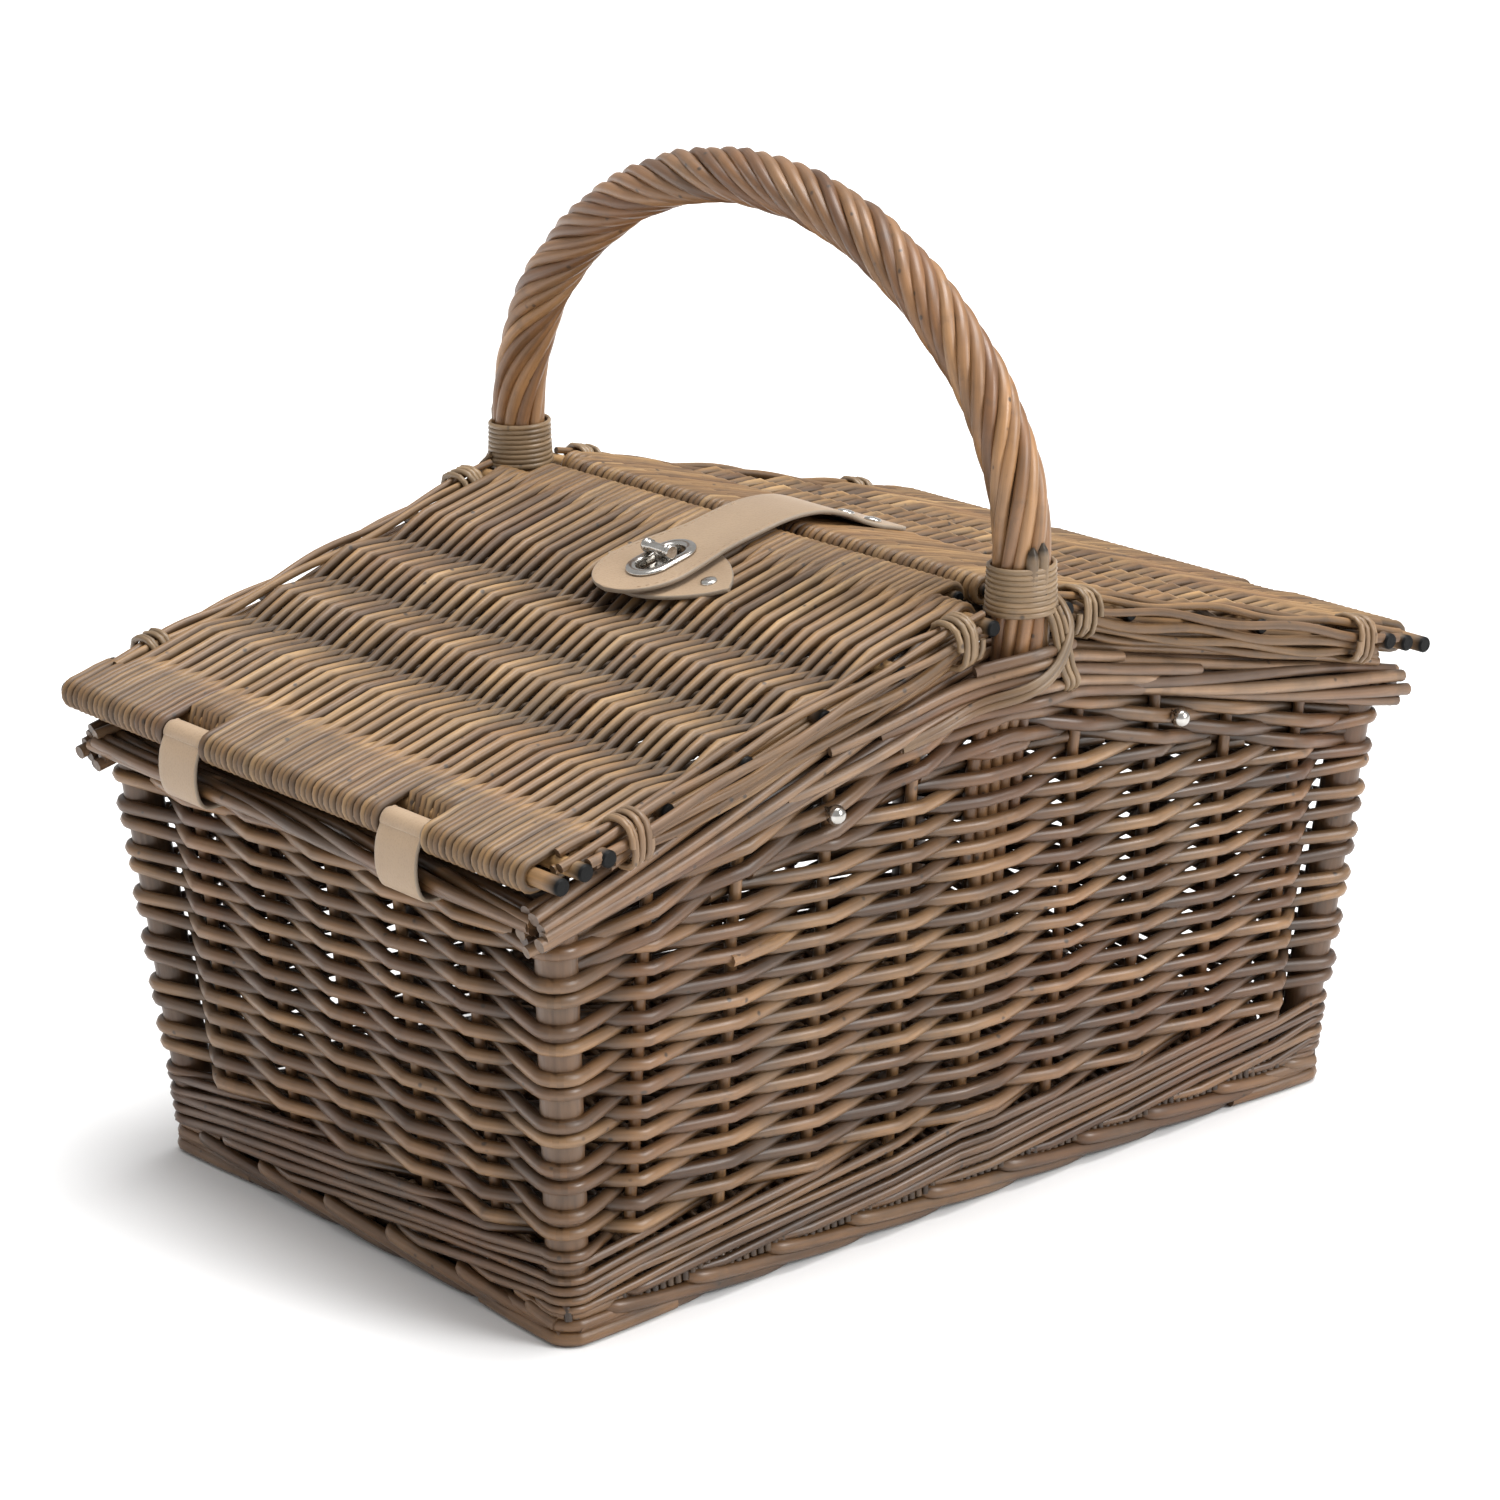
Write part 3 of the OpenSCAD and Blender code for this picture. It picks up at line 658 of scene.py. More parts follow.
def runs_by_side(points, at, start, spans):
    """Cuts the stretch of a row from crossing start over some spans where it turns a corner. The pieces
    overlap a little there."""
    count = len(at)
    side_of = {}
    for side, first, last in RING_SIDES:
        i = first
        while i != last:
            side_of[i] = side
            i = (i + 1) % count
    begin = start
    for k in range(1, spans + 1):
        here = (start + k) % count
        if k == spans or side_of[here] != side_of[begin]:
            piece = take(points, at[begin], at[here], int(begin != start), int(k != spans))
            yield side_of[begin], begin, here, piece
            begin = here


def tucked(piece, out, at_end, inward):
    """Adds a short end to a rod that dives behind a stake to the inside of the basket."""
    tip, before = (piece[-1], piece[-2]) if at_end else (piece[0], piece[1])
    step = unit(tip - before)
    inside = -np.array([*out, 0.0]) / math.hypot(*out)
    more = np.array([tip + step * 3.5 + inside * inward * 0.6, tip + step * 7 + inside * inward])
    return np.vstack([piece, more]) if at_end else np.vstack([more[::-1], piece])


def add_ring_row(sides, z, outside, post_dz):
    """Adds one row to each side's mesh, as four rods whose ends lie inside the basket behind stakes."""
    dz = rng.normal(0, 0.35, CROSSINGS)
    anchors, middles = ring_row(z, outside, PLY, dz, post_dz)
    points, at = smooth_row(anchors, middles)
    crossings = ring_crossings(z)
    hidden = [i for i in range(CROSSINGS) if outside[i] < 0 and crossings[i][2] == "stake"]
    joins = sorted(int(j) for j in rng.choice(hidden, 4, replace=False))
    for n, first in enumerate(joins):
        last = joins[(n + 1) % 4]
        spans = (last - first) % CROSSINGS
        tint, size = rng.random(), WEAVER_R * rng.uniform(0.94, 1.06)
        for side, begin, end, piece in runs_by_side(points, at, first, spans):
            if begin == first:
                piece = tucked(piece, crossings[begin][1], False, 0.8)
            if end == last:
                piece = tucked(piece, crossings[end][1], True, 3.4)
            # painted shade: darker inside the stakes' plane and where the rows touch
            painted_shade = shade_in_wall(piece)
            sides[side].tube(piece, size, 8, Z_AXIS, tint, ends=0.25, painted_shade=painted_shade, crease_shade=0.45)


def wall_rows(sides):
    """Plain weave from the waling up to where the border starts at the corners. Returns the next row's
    height and number."""
    pitch, top, post_shift = 4.95, 169, 1.5
    z, k = WALE_TOP, 0
    while z < top:
        outside = np.array([alternate(i + k) for i in range(CROSSINGS)])
        add_ring_row(sides, z, outside, post_shift * alternate(k // 2))
        z += pitch
        k += 1
    return z, k


def waling(sides):
    """Slanting rods above the foot: each rises over six stakes and tucks in behind the next."""
    climb = (-10, -6, -1.5, 3.2, 8, 12.8, 17, 19)
    last = len(climb) - 1
    for i in range(CROSSINGS):
        outside, dz = np.ones(CROSSINGS), np.zeros(CROSSINGS)
        for step, rise in enumerate(climb):
            j = (i + step) % CROSSINGS
            outside[j] = -1 if step in (0, last) else 1
            dz[j] = rise + rng.normal(0, 0.7)
        anchors, middles = ring_row(FLOOR_Z, outside, PLY + rng.normal(0, 0.5), dz, 0)
        points, at = smooth_row(anchors, middles)
        tint, size = 0.75 * rng.random(), rng.uniform(1.9, 2.35)
        for side, _, _, piece in runs_by_side(points, at, i, last):
            # painted shade: a little all over, more inside the stakes' plane and where the rods touch
            painted_shade = 0.05 + 0.8 * shade_in_wall(piece)
            sides[side].tube(piece, size, 8, Z_AXIS, tint, ends=0.3, painted_shade=painted_shade, crease_shade=0.75)


def wall_point(side, along, out, z):
    """A point of a wall's stake plane, out mm outside it."""
    is_long = side in ("front", "back")
    away = SIGNS[side] * ((WALL_Y if is_long else WALL_X) + z * LEAN - WALL_T / 2 + out)
    return (along, away, z) if is_long else (away, along, z)


def gable_rows(sides, z0, k0):
    """Short level rows under the gable, then rows that follow the border, and one odd rod end."""
    pitch, close_pitch = 5.1, 4.8
    for side, _ in LONG_SIDES:
        z, k = z0, k0
        while z < UNDER_PEAK - 22:
            xs, outs = crossings_along(k, (UNDER_PEAK - 19 - z) / GABLE_FALL)
            if len(xs) > 2:
                path = weave_line(side, xs, outs, lambda x, z=z: z)
                size = WEAVER_R * rng.uniform(0.94, 1.05)
                # painted shade: darker inside the stakes' plane and where the rows touch
                sides[side].tube(path, size, 8, Z_AXIS, ends=0.3, painted_shade=shade_in_wall(path), crease_shade=0.45)
            z += pitch
            k += 1
        for j in range(4):
            top = UNDER_PEAK - close_pitch * (3.5 - j)
            xs, outs = crossings_along(j, 213)
            path = weave_line(side, xs, outs, lambda x, top=top: top - GABLE_FALL * math.hypot(x, 8))
            # painted shade: darker inside the stakes' plane and where the rows touch
            painted_shade = shade_in_wall(path)
            sides[side].tube(path, WEAVER_R + 0.2, 8, Z_AXIS, ends=0.3, painted_shade=painted_shade, crease_shade=0.45)
    xs, outs = [-141, -119, -91], [PLY + 0.9, PLY - 1, -PLY]
    path = weave_line("front", xs, outs, lambda x: 146.5 + (x + 141) * 0.03)
    sides["front"].tube(path, 2.8, 8, Z_AXIS, 0.9, ends=0.35)


def crossings_along(k, half):
    """Crossings of a row along a long wall out to half mm from the middle: places and which side."""
    xs, outs = [-half], [-2.0]
    for i, x in enumerate(LONG_STAKES):
        if abs(x) < half - 6:
            for v in (x,) if x else (-LINER_HALF, LINER_HALF):
                xs.append(v)
                outs.append(PLY * alternate(i + k))
    return xs + [half], outs + [-2.0]


def weave_line(side, places, outs, level):
    """Path along a wall through crossings, outs mm outside the stakes, at height level(place)."""
    return np.array([wall_point(side, place, out, level(place)) for place, out in woven(places, outs)])


def end_top_rows(sides):
    """The last rows of the end walls, under the end borders."""
    for side in ("right", "left"):
        for j, z in enumerate((171.5, 176.0)):
            outs = [0, *(PLY * alternate(i + j) for i in range(5)), 0]
            path = weave_line(side, (-122, *END_STAKES, 122), outs, lambda y, z=z: z)
            sides[side].tube(path, WEAVER_R, 8, Z_AXIS, ends=0.3)


def build_walls():
    """The four woven walls."""
    sides = {name: Rods() for name, _, _ in RING_SIDES}
    z, k = wall_rows(sides)
    waling(sides)
    gable_rows(sides, z, k)
    end_top_rows(sides)
    for name, rods in sides.items():
        rods.object("woven_wall_" + name, "basket", ["wall_" + name], "woven_willow", WALL_WILLOW)


def add_stake(rods, side, at, top, count, wander):
    """One upright rod in the stake plane of a wall, a little bent."""
    zs = np.linspace(6, top, count)
    path = [wall_point(side, at + bend, 0, z) for bend, z in zip(rng.normal(0, wander, count), zs)]
    ref = X_AXIS if side in ("front", "back") else Y_AXIS
    rods.tube(path, STAKE_R, 8, ref, rng.random() * 0.75, ends=0.3)


def build_stakes():
    """The uprights inside each wall."""
    for side in ("front", "back", "right", "left"):
        rods = Rods()
        if side in ("front", "back"):
            for x in LONG_STAKES:
                if x:
                    add_stake(rods, side, x, UNDER_PEAK - GABLE_FALL * abs(x) + 4, 9, 0.5)
        else:
            for y in END_STAKES:
                add_stake(rods, side, y, END_HI[2] - 4, 7, 0.4)
        rods.object("stake_rods_" + side, "basket", ["stakes_" + side], "willow_rods", WALL_WILLOW)


def build_posts():
    """The thick corner rods, a little uneven."""
    for long in ("front", "back"):
        for end in ("left", "right"):
            rods = Rods()
            reach = np.linspace(12, 186, 24) * LEAN - POST_IN
            x, y = SIGNS[end] * (WALL_X + reach), SIGNS[long] * (WALL_Y + reach)
            radius = POST_SEEN_R + rng.normal(0, 0.12, 24)
            path = np.stack([x, y, np.linspace(12, 186, 24)], -1)
            # painted shade darkens the whole post a little
            rods.tube(path, radius, 20, X_AXIS, 0.25 + 0.2 * rng.random(), ends=0.3, painted_shade=0.3)
            name = long + "_" + end
            rods.object("post_" + name, "basket", ["corner_post_" + name], "willow_rods", WALL_WILLOW)


# ---- foot and base ----


def plait(rods, length, place, count, radius):
    """Slanting rods along one side: each comes out at the top with a tight bend, runs down to the ground
    and turns in. place(s, out, z) gives a point s along the side."""
    pitch = length / count
    for i in range(-2, count):
        s0 = -length / 2 + (i + 0.4) * pitch + rng.normal(0, 1.2)
        keys = [
            (s0 - 2, -8.5, 11.6),
            (s0 + 0.5, -3.5, 12.0),
            (s0 + 4, 1.6, 11.9),
            (s0 + 10, 3.2, 11.2),
            (s0 + 0.55 * pitch, 2.6, 9.4),
            (s0 + pitch, 1.2, 7.2),
            (s0 + 1.5 * pitch, 0.6, 5.0),
            (s0 + 2.0 * pitch, -0.4, 3.5),
            (s0 + 2.3 * pitch, -3.5, 3.3),
            (s0 + 2.4 * pitch, -9.0, 3.3),
        ]
        path = refine(keys, 5)
        path = path[np.abs(path[:, 0]) < length / 2 - 2]
        if len(path) > 4:
            # painted shade: darker towards the inside of the plait and near the ground, and where the rods
            # touch
            dark = np.clip(0.25 - path[:, 1] / 6 + (path[:, 2] < 6) * 0.15, 0, 1)
            points = [place(s, o, z) for s, o, z in path]
            size, tint = radius * rng.uniform(0.92, 1.06), 0.15 + 0.5 * rng.random()
            rods.tube(points, size, 10, Z_AXIS, tint, ends=0.4, painted_shade=dark, crease_shade=0.5)


def foot_corners(rods, place, half):
    """Rods that bend round the two corners at the ends of a long side, over the ends of the plaits."""
    bend_r = 9
    bend_s, bend_out = half - 3.6 - bend_r, 2.4 - bend_r
    for sign in (-1, 1):
        for z, size, reach in ((3.4, 3.2, 46), (9.0, 2.9, 34), (13.6, 2.2, 24)):
            keys = [(bend_s - reach, 0.2), (bend_s - reach / 2, 1.8)]
            for a in np.radians((0, 22, 45, 68, 90)):
                keys.append((bend_s + bend_r * math.sin(a), bend_out + bend_r * math.cos(a)))
            keys += [(half - 4.2, bend_out - reach / 2), (half - 5.8, bend_out - reach)]
            path = [place(sign * x, out, z) for x, out in refine(keys, 3)]
            # painted shade where the rods touch
            rods.tube(path, size, 10, Z_AXIS, 0.3 + 0.5 * rng.random(), ends=0.4, crease_shade=0.5)


def build_foot():
    """The plaited foot border on each side, with two straight core rods behind the plait."""
    hx, hy = FOOT_HI[0], -FOOT_LO[1]
    inset, rod_r, core_r, core_out = 6.0, 3.15, 3.3, -6.5
    for side, count, length, place in (
        ("front", 10, 2 * hx - 8, lambda s, o, z: (s, -hy + inset - o, z)),
        ("back", 10, 2 * hx - 8, lambda s, o, z: (-s, hy - inset + o, z)),
        ("left", 6, 2 * hy - 8, lambda s, o, z: (-hx + inset - o, -s, z)),
        ("right", 6, 2 * hy - 8, lambda s, o, z: (hx - inset + o, s, z)),
    ):
        rods = Rods()
        plait(rods, length, place, count, rod_r)
        for z in (4.5, 10.0):
            core = np.linspace(-length / 2, length / 2, 40)
            path = [place(s, core_out + rng.normal(0, 0.25), z) for s in core]
            # painted shade on the core rods behind the plait
            rods.tube(path, core_r, 8, Z_AXIS, 0.2, ends=0.4, painted_shade=0.7)
        if side in ("front", "back"):
            foot_corners(rods, place, hx)
        rods.object("foot_plait_" + side, "basket", ["foot_rim_" + side], "woven_willow", WALL_WILLOW)


def build_base():
    """The woven base: sticks along the basket and weavers across them."""
    rods = Rods()
    stick_r, weaver_r, swing, pitch, inset = 2.6, 1.75, 3.4, 3.9, 3
    middle = (BASE_LO[2] + BASE_HI[2]) / 2
    sticks = np.linspace(-120, 120, 11)
    for y in sticks:
        x = np.linspace(BASE_LO[0] + inset, BASE_HI[0] - inset, 12)
        rods.tube([(v, y, middle) for v in x], stick_r, 8, Z_AXIS, ends=0.3)
    y0, y1 = BASE_LO[1] + inset, BASE_HI[1] - inset
    x, k = BASE_LO[0] + inset, 0
    while x < BASE_HI[0] - 2:
        outs = [0, *(swing * alternate(i + k) for i in range(len(sticks))), 0]
        points = [(x, y0 - 1.5, middle - 6), (x, y0 - 1.0, middle - 2)]
        points += [(x, y, middle + out) for y, out in woven((y0, *sticks, y1), outs, 4)]
        points += [(x, y1 + 1.0, middle - 2), (x, y1 + 1.5, middle - 6)]
        # painted shade: the weavers are darker where they turn down at the base's edges, and a little all
        # over
        painted_shade = np.full(len(points), 0.15)
        painted_shade[[0, 1, -2, -1]] = 0.95
        rods.tube(points, weaver_r, 6, X_AXIS, ends=0.3, painted_shade=painted_shade)
        x += pitch
        k += 1
    rods.object("woven_base", "basket", ["base_panel"], "woven_willow", WALL_WILLOW)


# ---- top border ----


def gable(xs, rounding):
    """How far the border's top lies below its peak along xs; rounding softens the peak."""
    return GABLE_FALL * np.sqrt(xs * xs + rounding)


def add_border_bundle(rods, front):
    """Ten rods that turn slowly round three core rods, from one end of a long side to the other."""
    outer, inner = 10, 3
    for i in range(outer + inner):
        core = i >= outer
        phase = i * 2 * math.pi / outer
        x0 = -HALF_L + (rng.uniform(8, 60) if core else rng.uniform(0, 6))
        x1 = HALF_L - (rng.uniform(8, 60) if core else rng.uniform(0, 6))
        xs = np.linspace(x0, x1, 72)
        turn = phase + xs * 0.0075 + 0.3 * np.sin(xs / 41 + i)
        swell = (2.5 if core else 6.9) + 0.5 * np.sin(xs / 23 + 2 * i)
        y = front * (HALF_W - BORDER_D / 2 + np.clip(swell * np.cos(turn) * 1.1, -7.4, 7.6))
        z = GABLE_Z - gable(xs, 120) - BORDER_H / 2 + np.clip(swell * np.sin(turn) * 1.05, -7.0, 7.6)
        radius = 2.95 * (1 - 0.16 * np.abs(np.sin(xs / 120 + i)))
        path = np.stack([xs, y, z], -1)
        # painted shade: the core rods inside the bundle are painted dark, and every rod is darker where its
        # neighbours touch it
        rods.tube(path, radius, 10, Z_AXIS, ends=0.45, painted_shade=0.9 if core else 0.0, crease_shade=0.6)


def add_border_tops(rods, front):
    """Thin rods that lie along the top of the bundle."""
    for y_off, lift, x0, x1 in ((-4.5, 2.4, -215, 150), (3.5, 2.8, -120, 222), (-0.5, 3.2, 20, 205)):
        xs = np.linspace(x0, x1, 60)
        z = GABLE_Z + lift - 1.6 - gable(xs, 160) + 0.5 * np.sin(xs / 31 + lift)
        z = np.where(np.abs(xs) < 19, np.minimum(z, GABLE_Z - 2), z)
        y = front * (HALF_W - BORDER_D / 2 + y_off + 1.2 * np.sin(xs / 60 + lift))
        rods.tube(np.stack([xs, y, z], -1), 2.1, 8, Z_AXIS, ends=0.45)


def add_rods_over_leg(rods, front):
    """Rods that bulge out over the handle's leg and tuck in at both ends."""
    spans = ((-27, 25, 0), (-96, 62, 4), (-70, 108, 4), (-118, 84, 4), (-60, 74, 4))
    for j, (x0, x1, tuck) in enumerate(spans):
        xs = np.linspace(x0, x1, 50)
        z = GABLE_Z + 2.6 - 4.8 * j - gable(xs, 90) + 0.6 * np.sin(xs / 17 + j)
        round_leg = (LEG_Y + HANDLE_R + 2.2 - HALF_W) * np.exp(-((xs / 23) ** 2))
        ends_in = tuck * (np.abs(xs - (x0 + x1) / 2) / ((x1 - x0) / 2)) ** 6
        y = front * (HALF_W + 0.4 + round_leg - ends_in)
        # painted shade where neighbouring rods touch
        rods.tube(np.stack([xs, y, z], -1), 2.5, 10, Z_AXIS, ends=0.45, crease_shade=0.6)


def add_end_bundle(rods, end):
    """Eight rods that turn slowly along an end border, in a flat bundle."""
    cx, cz = HALF_L - (END_HI[0] - END_LO[0]) / 2, (END_LO[2] + END_HI[2]) / 2
    count = 8
    for i in range(count):
        phase = i * 2 * math.pi / count
        ys = np.linspace(END_LO[1] - 14 + rng.uniform(0, 8), END_HI[1] + 14 - rng.uniform(0, 8), 44)
        turn = phase + ys * 0.010 + 0.4 * np.sin(ys / 33 + i)
        x = SIGNS[end] * (cx + 7.6 * np.cos(turn))
        z = cz + 2.7 * np.sin(turn) + 0.4 * np.sin(ys / 21 + i)
        # painted shade where neighbouring rods touch
        rods.tube(np.stack([x, ys, z], -1), 2.6, 10, Z_AXIS, 0.6 * rng.random(), ends=0.45, crease_shade=0.5)


def build_borders():
    """The rolled top border on each side."""
    for side, front in LONG_SIDES:
        rods = Rods()
        add_border_bundle(rods, front)
        add_border_tops(rods, front)
        add_rods_over_leg(rods, front)
        rods.object("border_rods_" + side, "basket", ["border_" + side], "woven_willow", BORDER_WILLOW)
    for end in ("left", "right"):
        rods = Rods()
        add_end_bundle(rods, end)
        rods.object("border_rods_" + end, "basket", ["border_" + end], "woven_willow", WALL_WILLOW)


# ---- handle ----


def hoop_line(count):
    """The handle's centre line from the near leg over the top to the far one, and the length along it."""
    sy = LEG_Y - SHOULDER_R
    join = math.acos(sy / (CROWN_R - SHOULDER_R))
    cz = LEG_Z - (CROWN_R - SHOULDER_R) * math.sin(join)
    low = GABLE_Z - 16
    pts = [(0, -LEG_Y, z) for z in np.linspace(low, LEG_Z, 8)[:-1]]
    for cy, base, r, a0, a1, steps in (
        (-sy, LEG_Z, SHOULDER_R, math.pi, math.pi - join, 14),
        (0, cz, CROWN_R, math.pi - join, join, 30),
        (sy, LEG_Z, SHOULDER_R, join, 0, 14),
    ):
        for a in np.linspace(a0, a1, steps)[:-1]:
            pts.append((0, cy + r * math.cos(a), base + r * math.sin(a)))
    pts += [(0, LEG_Y, z) for z in np.linspace(LEG_Z, low, 8)]
    return evenly(np.array(pts, float), count)


def build_handle():
    """Ten rods twisted round the core of the handle; they run straighter along its legs."""
    number, leg, ease, rate = 10, 45.0, 60, 1 / 17.5
    line, s = hoop_line(190)
    side = np.array(X_AXIS, float)
    up = np.cross(unit(np.gradient(line, axis=0)), side)
    ramp_in = np.clip((s - leg) / ease, 0, 1) * np.clip((s[-1] - leg - s) / ease, 0, 1)
    twist = np.cumsum(np.concatenate([[0], np.diff(s)]) * rate * (0.25 + 0.75 * ramp_in))
    rods = Rods()
    rods.tube(line, HANDLE_R - 4.5, 12, X_AXIS, 0.1, ends=0.5)
    for i in range(number):
        angle = i * 2 * math.pi / number + twist + rng.normal(0, 0.05)
        reach = HANDLE_R - 3.0 + 0.35 * np.sin(s / 40 + 2 * i)
        path = line + (np.cos(angle) * reach)[:, None] * side + (np.sin(angle) * reach)[:, None] * up
        rods.tube(path, 3.05 + 0.15 * np.sin(s / 55 + i), 8, None, ends=0.6)
    rods.object("twisted_handle", "basket", ["handle_hoop"], "handle_willow", HANDLE_WILLOW)


def build_collars():
    """Nine flat wraps of cane round each foot of the handle, and the cut ends that they hold."""
    low, high = COLLAR_LO[2], COLLAR_HI[2]
    for side, front in LONG_SIDES:
        rods = Rods()
        turns = 9
        t = np.linspace(0, turns, turns * 20)
        z = low + 1.2 + t / turns * (high - low - 2.4)
        r = 13.1 + 1.4 * np.exp(-(z - low) / 9)
        a = t * 2 * math.pi
        path = np.stack([r * np.cos(a), front * LEG_Y + r * np.sin(a), z], -1)
        rods.tube(path, 0.9, 8, Z_AXIS, 0.7, flat=1.4, ends=0.5)
        for k, (angle, rise) in enumerate(((-112, 7.5), (-90, 9.0))):
            a = -front * math.radians(angle)
            zs = np.linspace(low + 8, high + rise, 10)
            reach = np.linspace(11.3, 11.6, 10)
            path = np.stack([reach * math.cos(a), front * LEG_Y + reach * math.sin(a), zs], -1)
            size = 2.7 * np.clip((high + rise + 0.6 - zs) / 4.5, 0.12, 1) ** 0.7
            rods.tube(path, size, 10, X_AXIS, 0.3 + 0.2 * k, ends=0.8, painted=4.0)
        rods.object("collar_" + side, "basket", ["handle_collar_" + side], "handle_willow", SKEIN_WILLOW)


def build_liners():
    """The rods that run from the handle down through each long wall."""
    for side, front in LONG_SIDES:
        rods = Rods()
        for k, low in zip((-2, -1, 0, 1, 2), (150, 50, 58, 120, 170)):
            zs = np.linspace(low, COLLAR_LO[2] + 4, 14)
            spread = k * 6.0 + rng.normal(0, 0.3, 14)
            f = np.clip((zs - 200) / 60, 0, 1)
            y = (WALL_Y + zs * LEAN - WALL_T / 2) * (1 - f) + (LEG_Y - 2) * f
            path = np.stack([spread * (1 - 0.35 * f), front * y, zs], -1)
            rods.tube(path, 2.95, 8, X_AXIS, ends=0.7)
        rods.object("liner_rods_" + side, "basket", ["handle_liners_" + side], "handle_willow", WALL_WILLOW)


def build_ties():
    """Skeins that come from under the collar, cross on the border and tie the handle to it."""
    leg, low = LEG_Y + HANDLE_R, COLLAR_LO[2]
    for side, front in LONG_SIDES:
        rods = Rods()
        for j in (0, 1):
            keys = [
                (14.5, LEG_Y + 2, low + 7 - 3 * j),
                (16.2, LEG_Y + 8, low + 1 - 3 * j),
                (12.5, leg + 3.4, low - 6 - 3 * j),
                (2, leg + 6.4, GABLE_Z - 4.5 - 3 * j),
                (-12, leg + 5.2, GABLE_Z - 11 - 3 * j),
                (-27, HALF_W + 6.4, GABLE_Z - 17.5 - 3 * j),
                (-45, HALF_W + 4.2, GABLE_Z - 23.5 - 2.4 * j),
                (-62, HALF_W + 1.0, GABLE_Z - 28.5 - 1.6 * j),
            ]
            path = refine(keys, 6) * (-front, front, 1)
            rods.tube(path, 1.75, 8, None, 0.3 + 0.3 * rng.random(), flat=0.75, ends=0.5)
        for j in (0, 1, 2):
            keys = [
                (2 + 2.9 * j, leg + 0.5, low + 4),
                (4 + 2.9 * j, leg + 2.6, low - 3),
                (7.5 + 2.9 * j, leg + 3.6, GABLE_Z - 6),
                (13 + 2.9 * j, leg + 1.5, GABLE_Z - 15),
                (17 + 2.6 * j, HALF_W + 5.0, GABLE_Z - 22.5),
                (17 + 2.2 * j, HALF_W + 0.5, GABLE_Z - 27),
                (14 + 2.2 * j, HALF_W - 7, GABLE_Z - 28),
            ]
            path = refine(keys, 6) * (-front, front, 1)
            rods.tube(path, 1.6, 8, None, 0.5 + 0.3 * rng.random(), flat=0.75, ends=0.5)
        rods.object("tie_skeins_" + side, "basket", ["handle_ties_" + side], "handle_willow", SKEIN_WILLOW)


# ---- lids ----


def arc(centre, radius, angles):
    """Points on a circle about (centre, 0), at angles in degrees."""
    return [(centre + radius * math.cos(a), radius * math.sin(a)) for a in np.radians(angles)]


def lid_strand(k, ridge):
    """Path (u, n) of one strand: wrapped round the edge sticks, woven, then wrapped round the ridge."""
    ply = STICK_R + 1.7
    path = [(30, -ply), (12, -ply - 0.2), *arc(0, ply, np.linspace(-90, -270, 9))]
    path += [(6, ply), (12, ply + 0.2), (18, ply), (23, ply - 0.2)]
    outs = [ply - 0.9, *(ply * alternate(i + k) for i in range(len(CROSS_U))), ply]
    path += woven((27, *CROSS_U, TOP_U), outs)
    end_u, reach = (RIDGE_U[1] - RIDGE_BACK, RIDGE_R + 1.7) if ridge else (TOP_U, ply)
    if ridge:
        path += [(RIDGE_U[0] - RIDGE_BACK, reach + 0.4), (end_u - 2, reach + 0.2)]
    path += arc(end_u, reach, np.linspace(80, -90, 8))
    path += [(end_u - 8, -reach), (end_u - 14, -reach + 1)]
    return np.array(path)


def build_lid_weave(side, name):
    """The weavers of one lid, wrapped round its outer and ridge sticks. Past the far side rods there are
    only wraps round the outer sticks, and at the leather loops the wraps are left out."""
    rods = Rods()
    pitch, loop_gap, wrap_points, over_points = 3.9, 15.2, 15, 11
    for k in range(int((LID_HALF + STICK_HALF) / pitch)):
        y = -LID_HALF + k * pitch
        path = lid_strand(k, abs(y) < NOTCH_HALF)
        if y > LID_HALF:
            path = path[:wrap_points]
            path[-1] = (26, -1.0)
        if abs(abs(y) - LOOP_Y) < loop_gap:
            path = path[over_points:]
            path[0] = (8.4, -1.0)
        u, n = path.T
        wobble = 0.5 * np.sin(u / 31 + k * 1.7) + rng.normal(0, 0.1, len(path))
        woven_part = (u > 26) & (u < TOP_U - 2)
        over = np.clip(n / 5.0, 0, 1) * woven_part
        size = 1.94 + 0.5 * over * rng.uniform(0.4, 1.15) - 0.12 * (n < 0) * woven_part
        # painted shade: a strand is darker the lower it lies among the others, a little over the wrapped
        # edge, and where strands touch side by side
        low = np.clip((3.9 - n) / 6.0, 0, 0.9) * (u < TOP_U + 2)
        painted_shade = np.where(u < 24, 0.3, low)
        tint = np.clip(rng.normal(0.5, 0.24), 0, 1)
        rods.tube(on_lid(side, u, y + wobble, n), size, 8, Y_AXIS, tint, ends=0.3, painted_shade=painted_shade, crease_shade=0.85)
    rods.object(name + "_strands", name, [name + "_weave"], "woven_willow", LID_WILLOW)


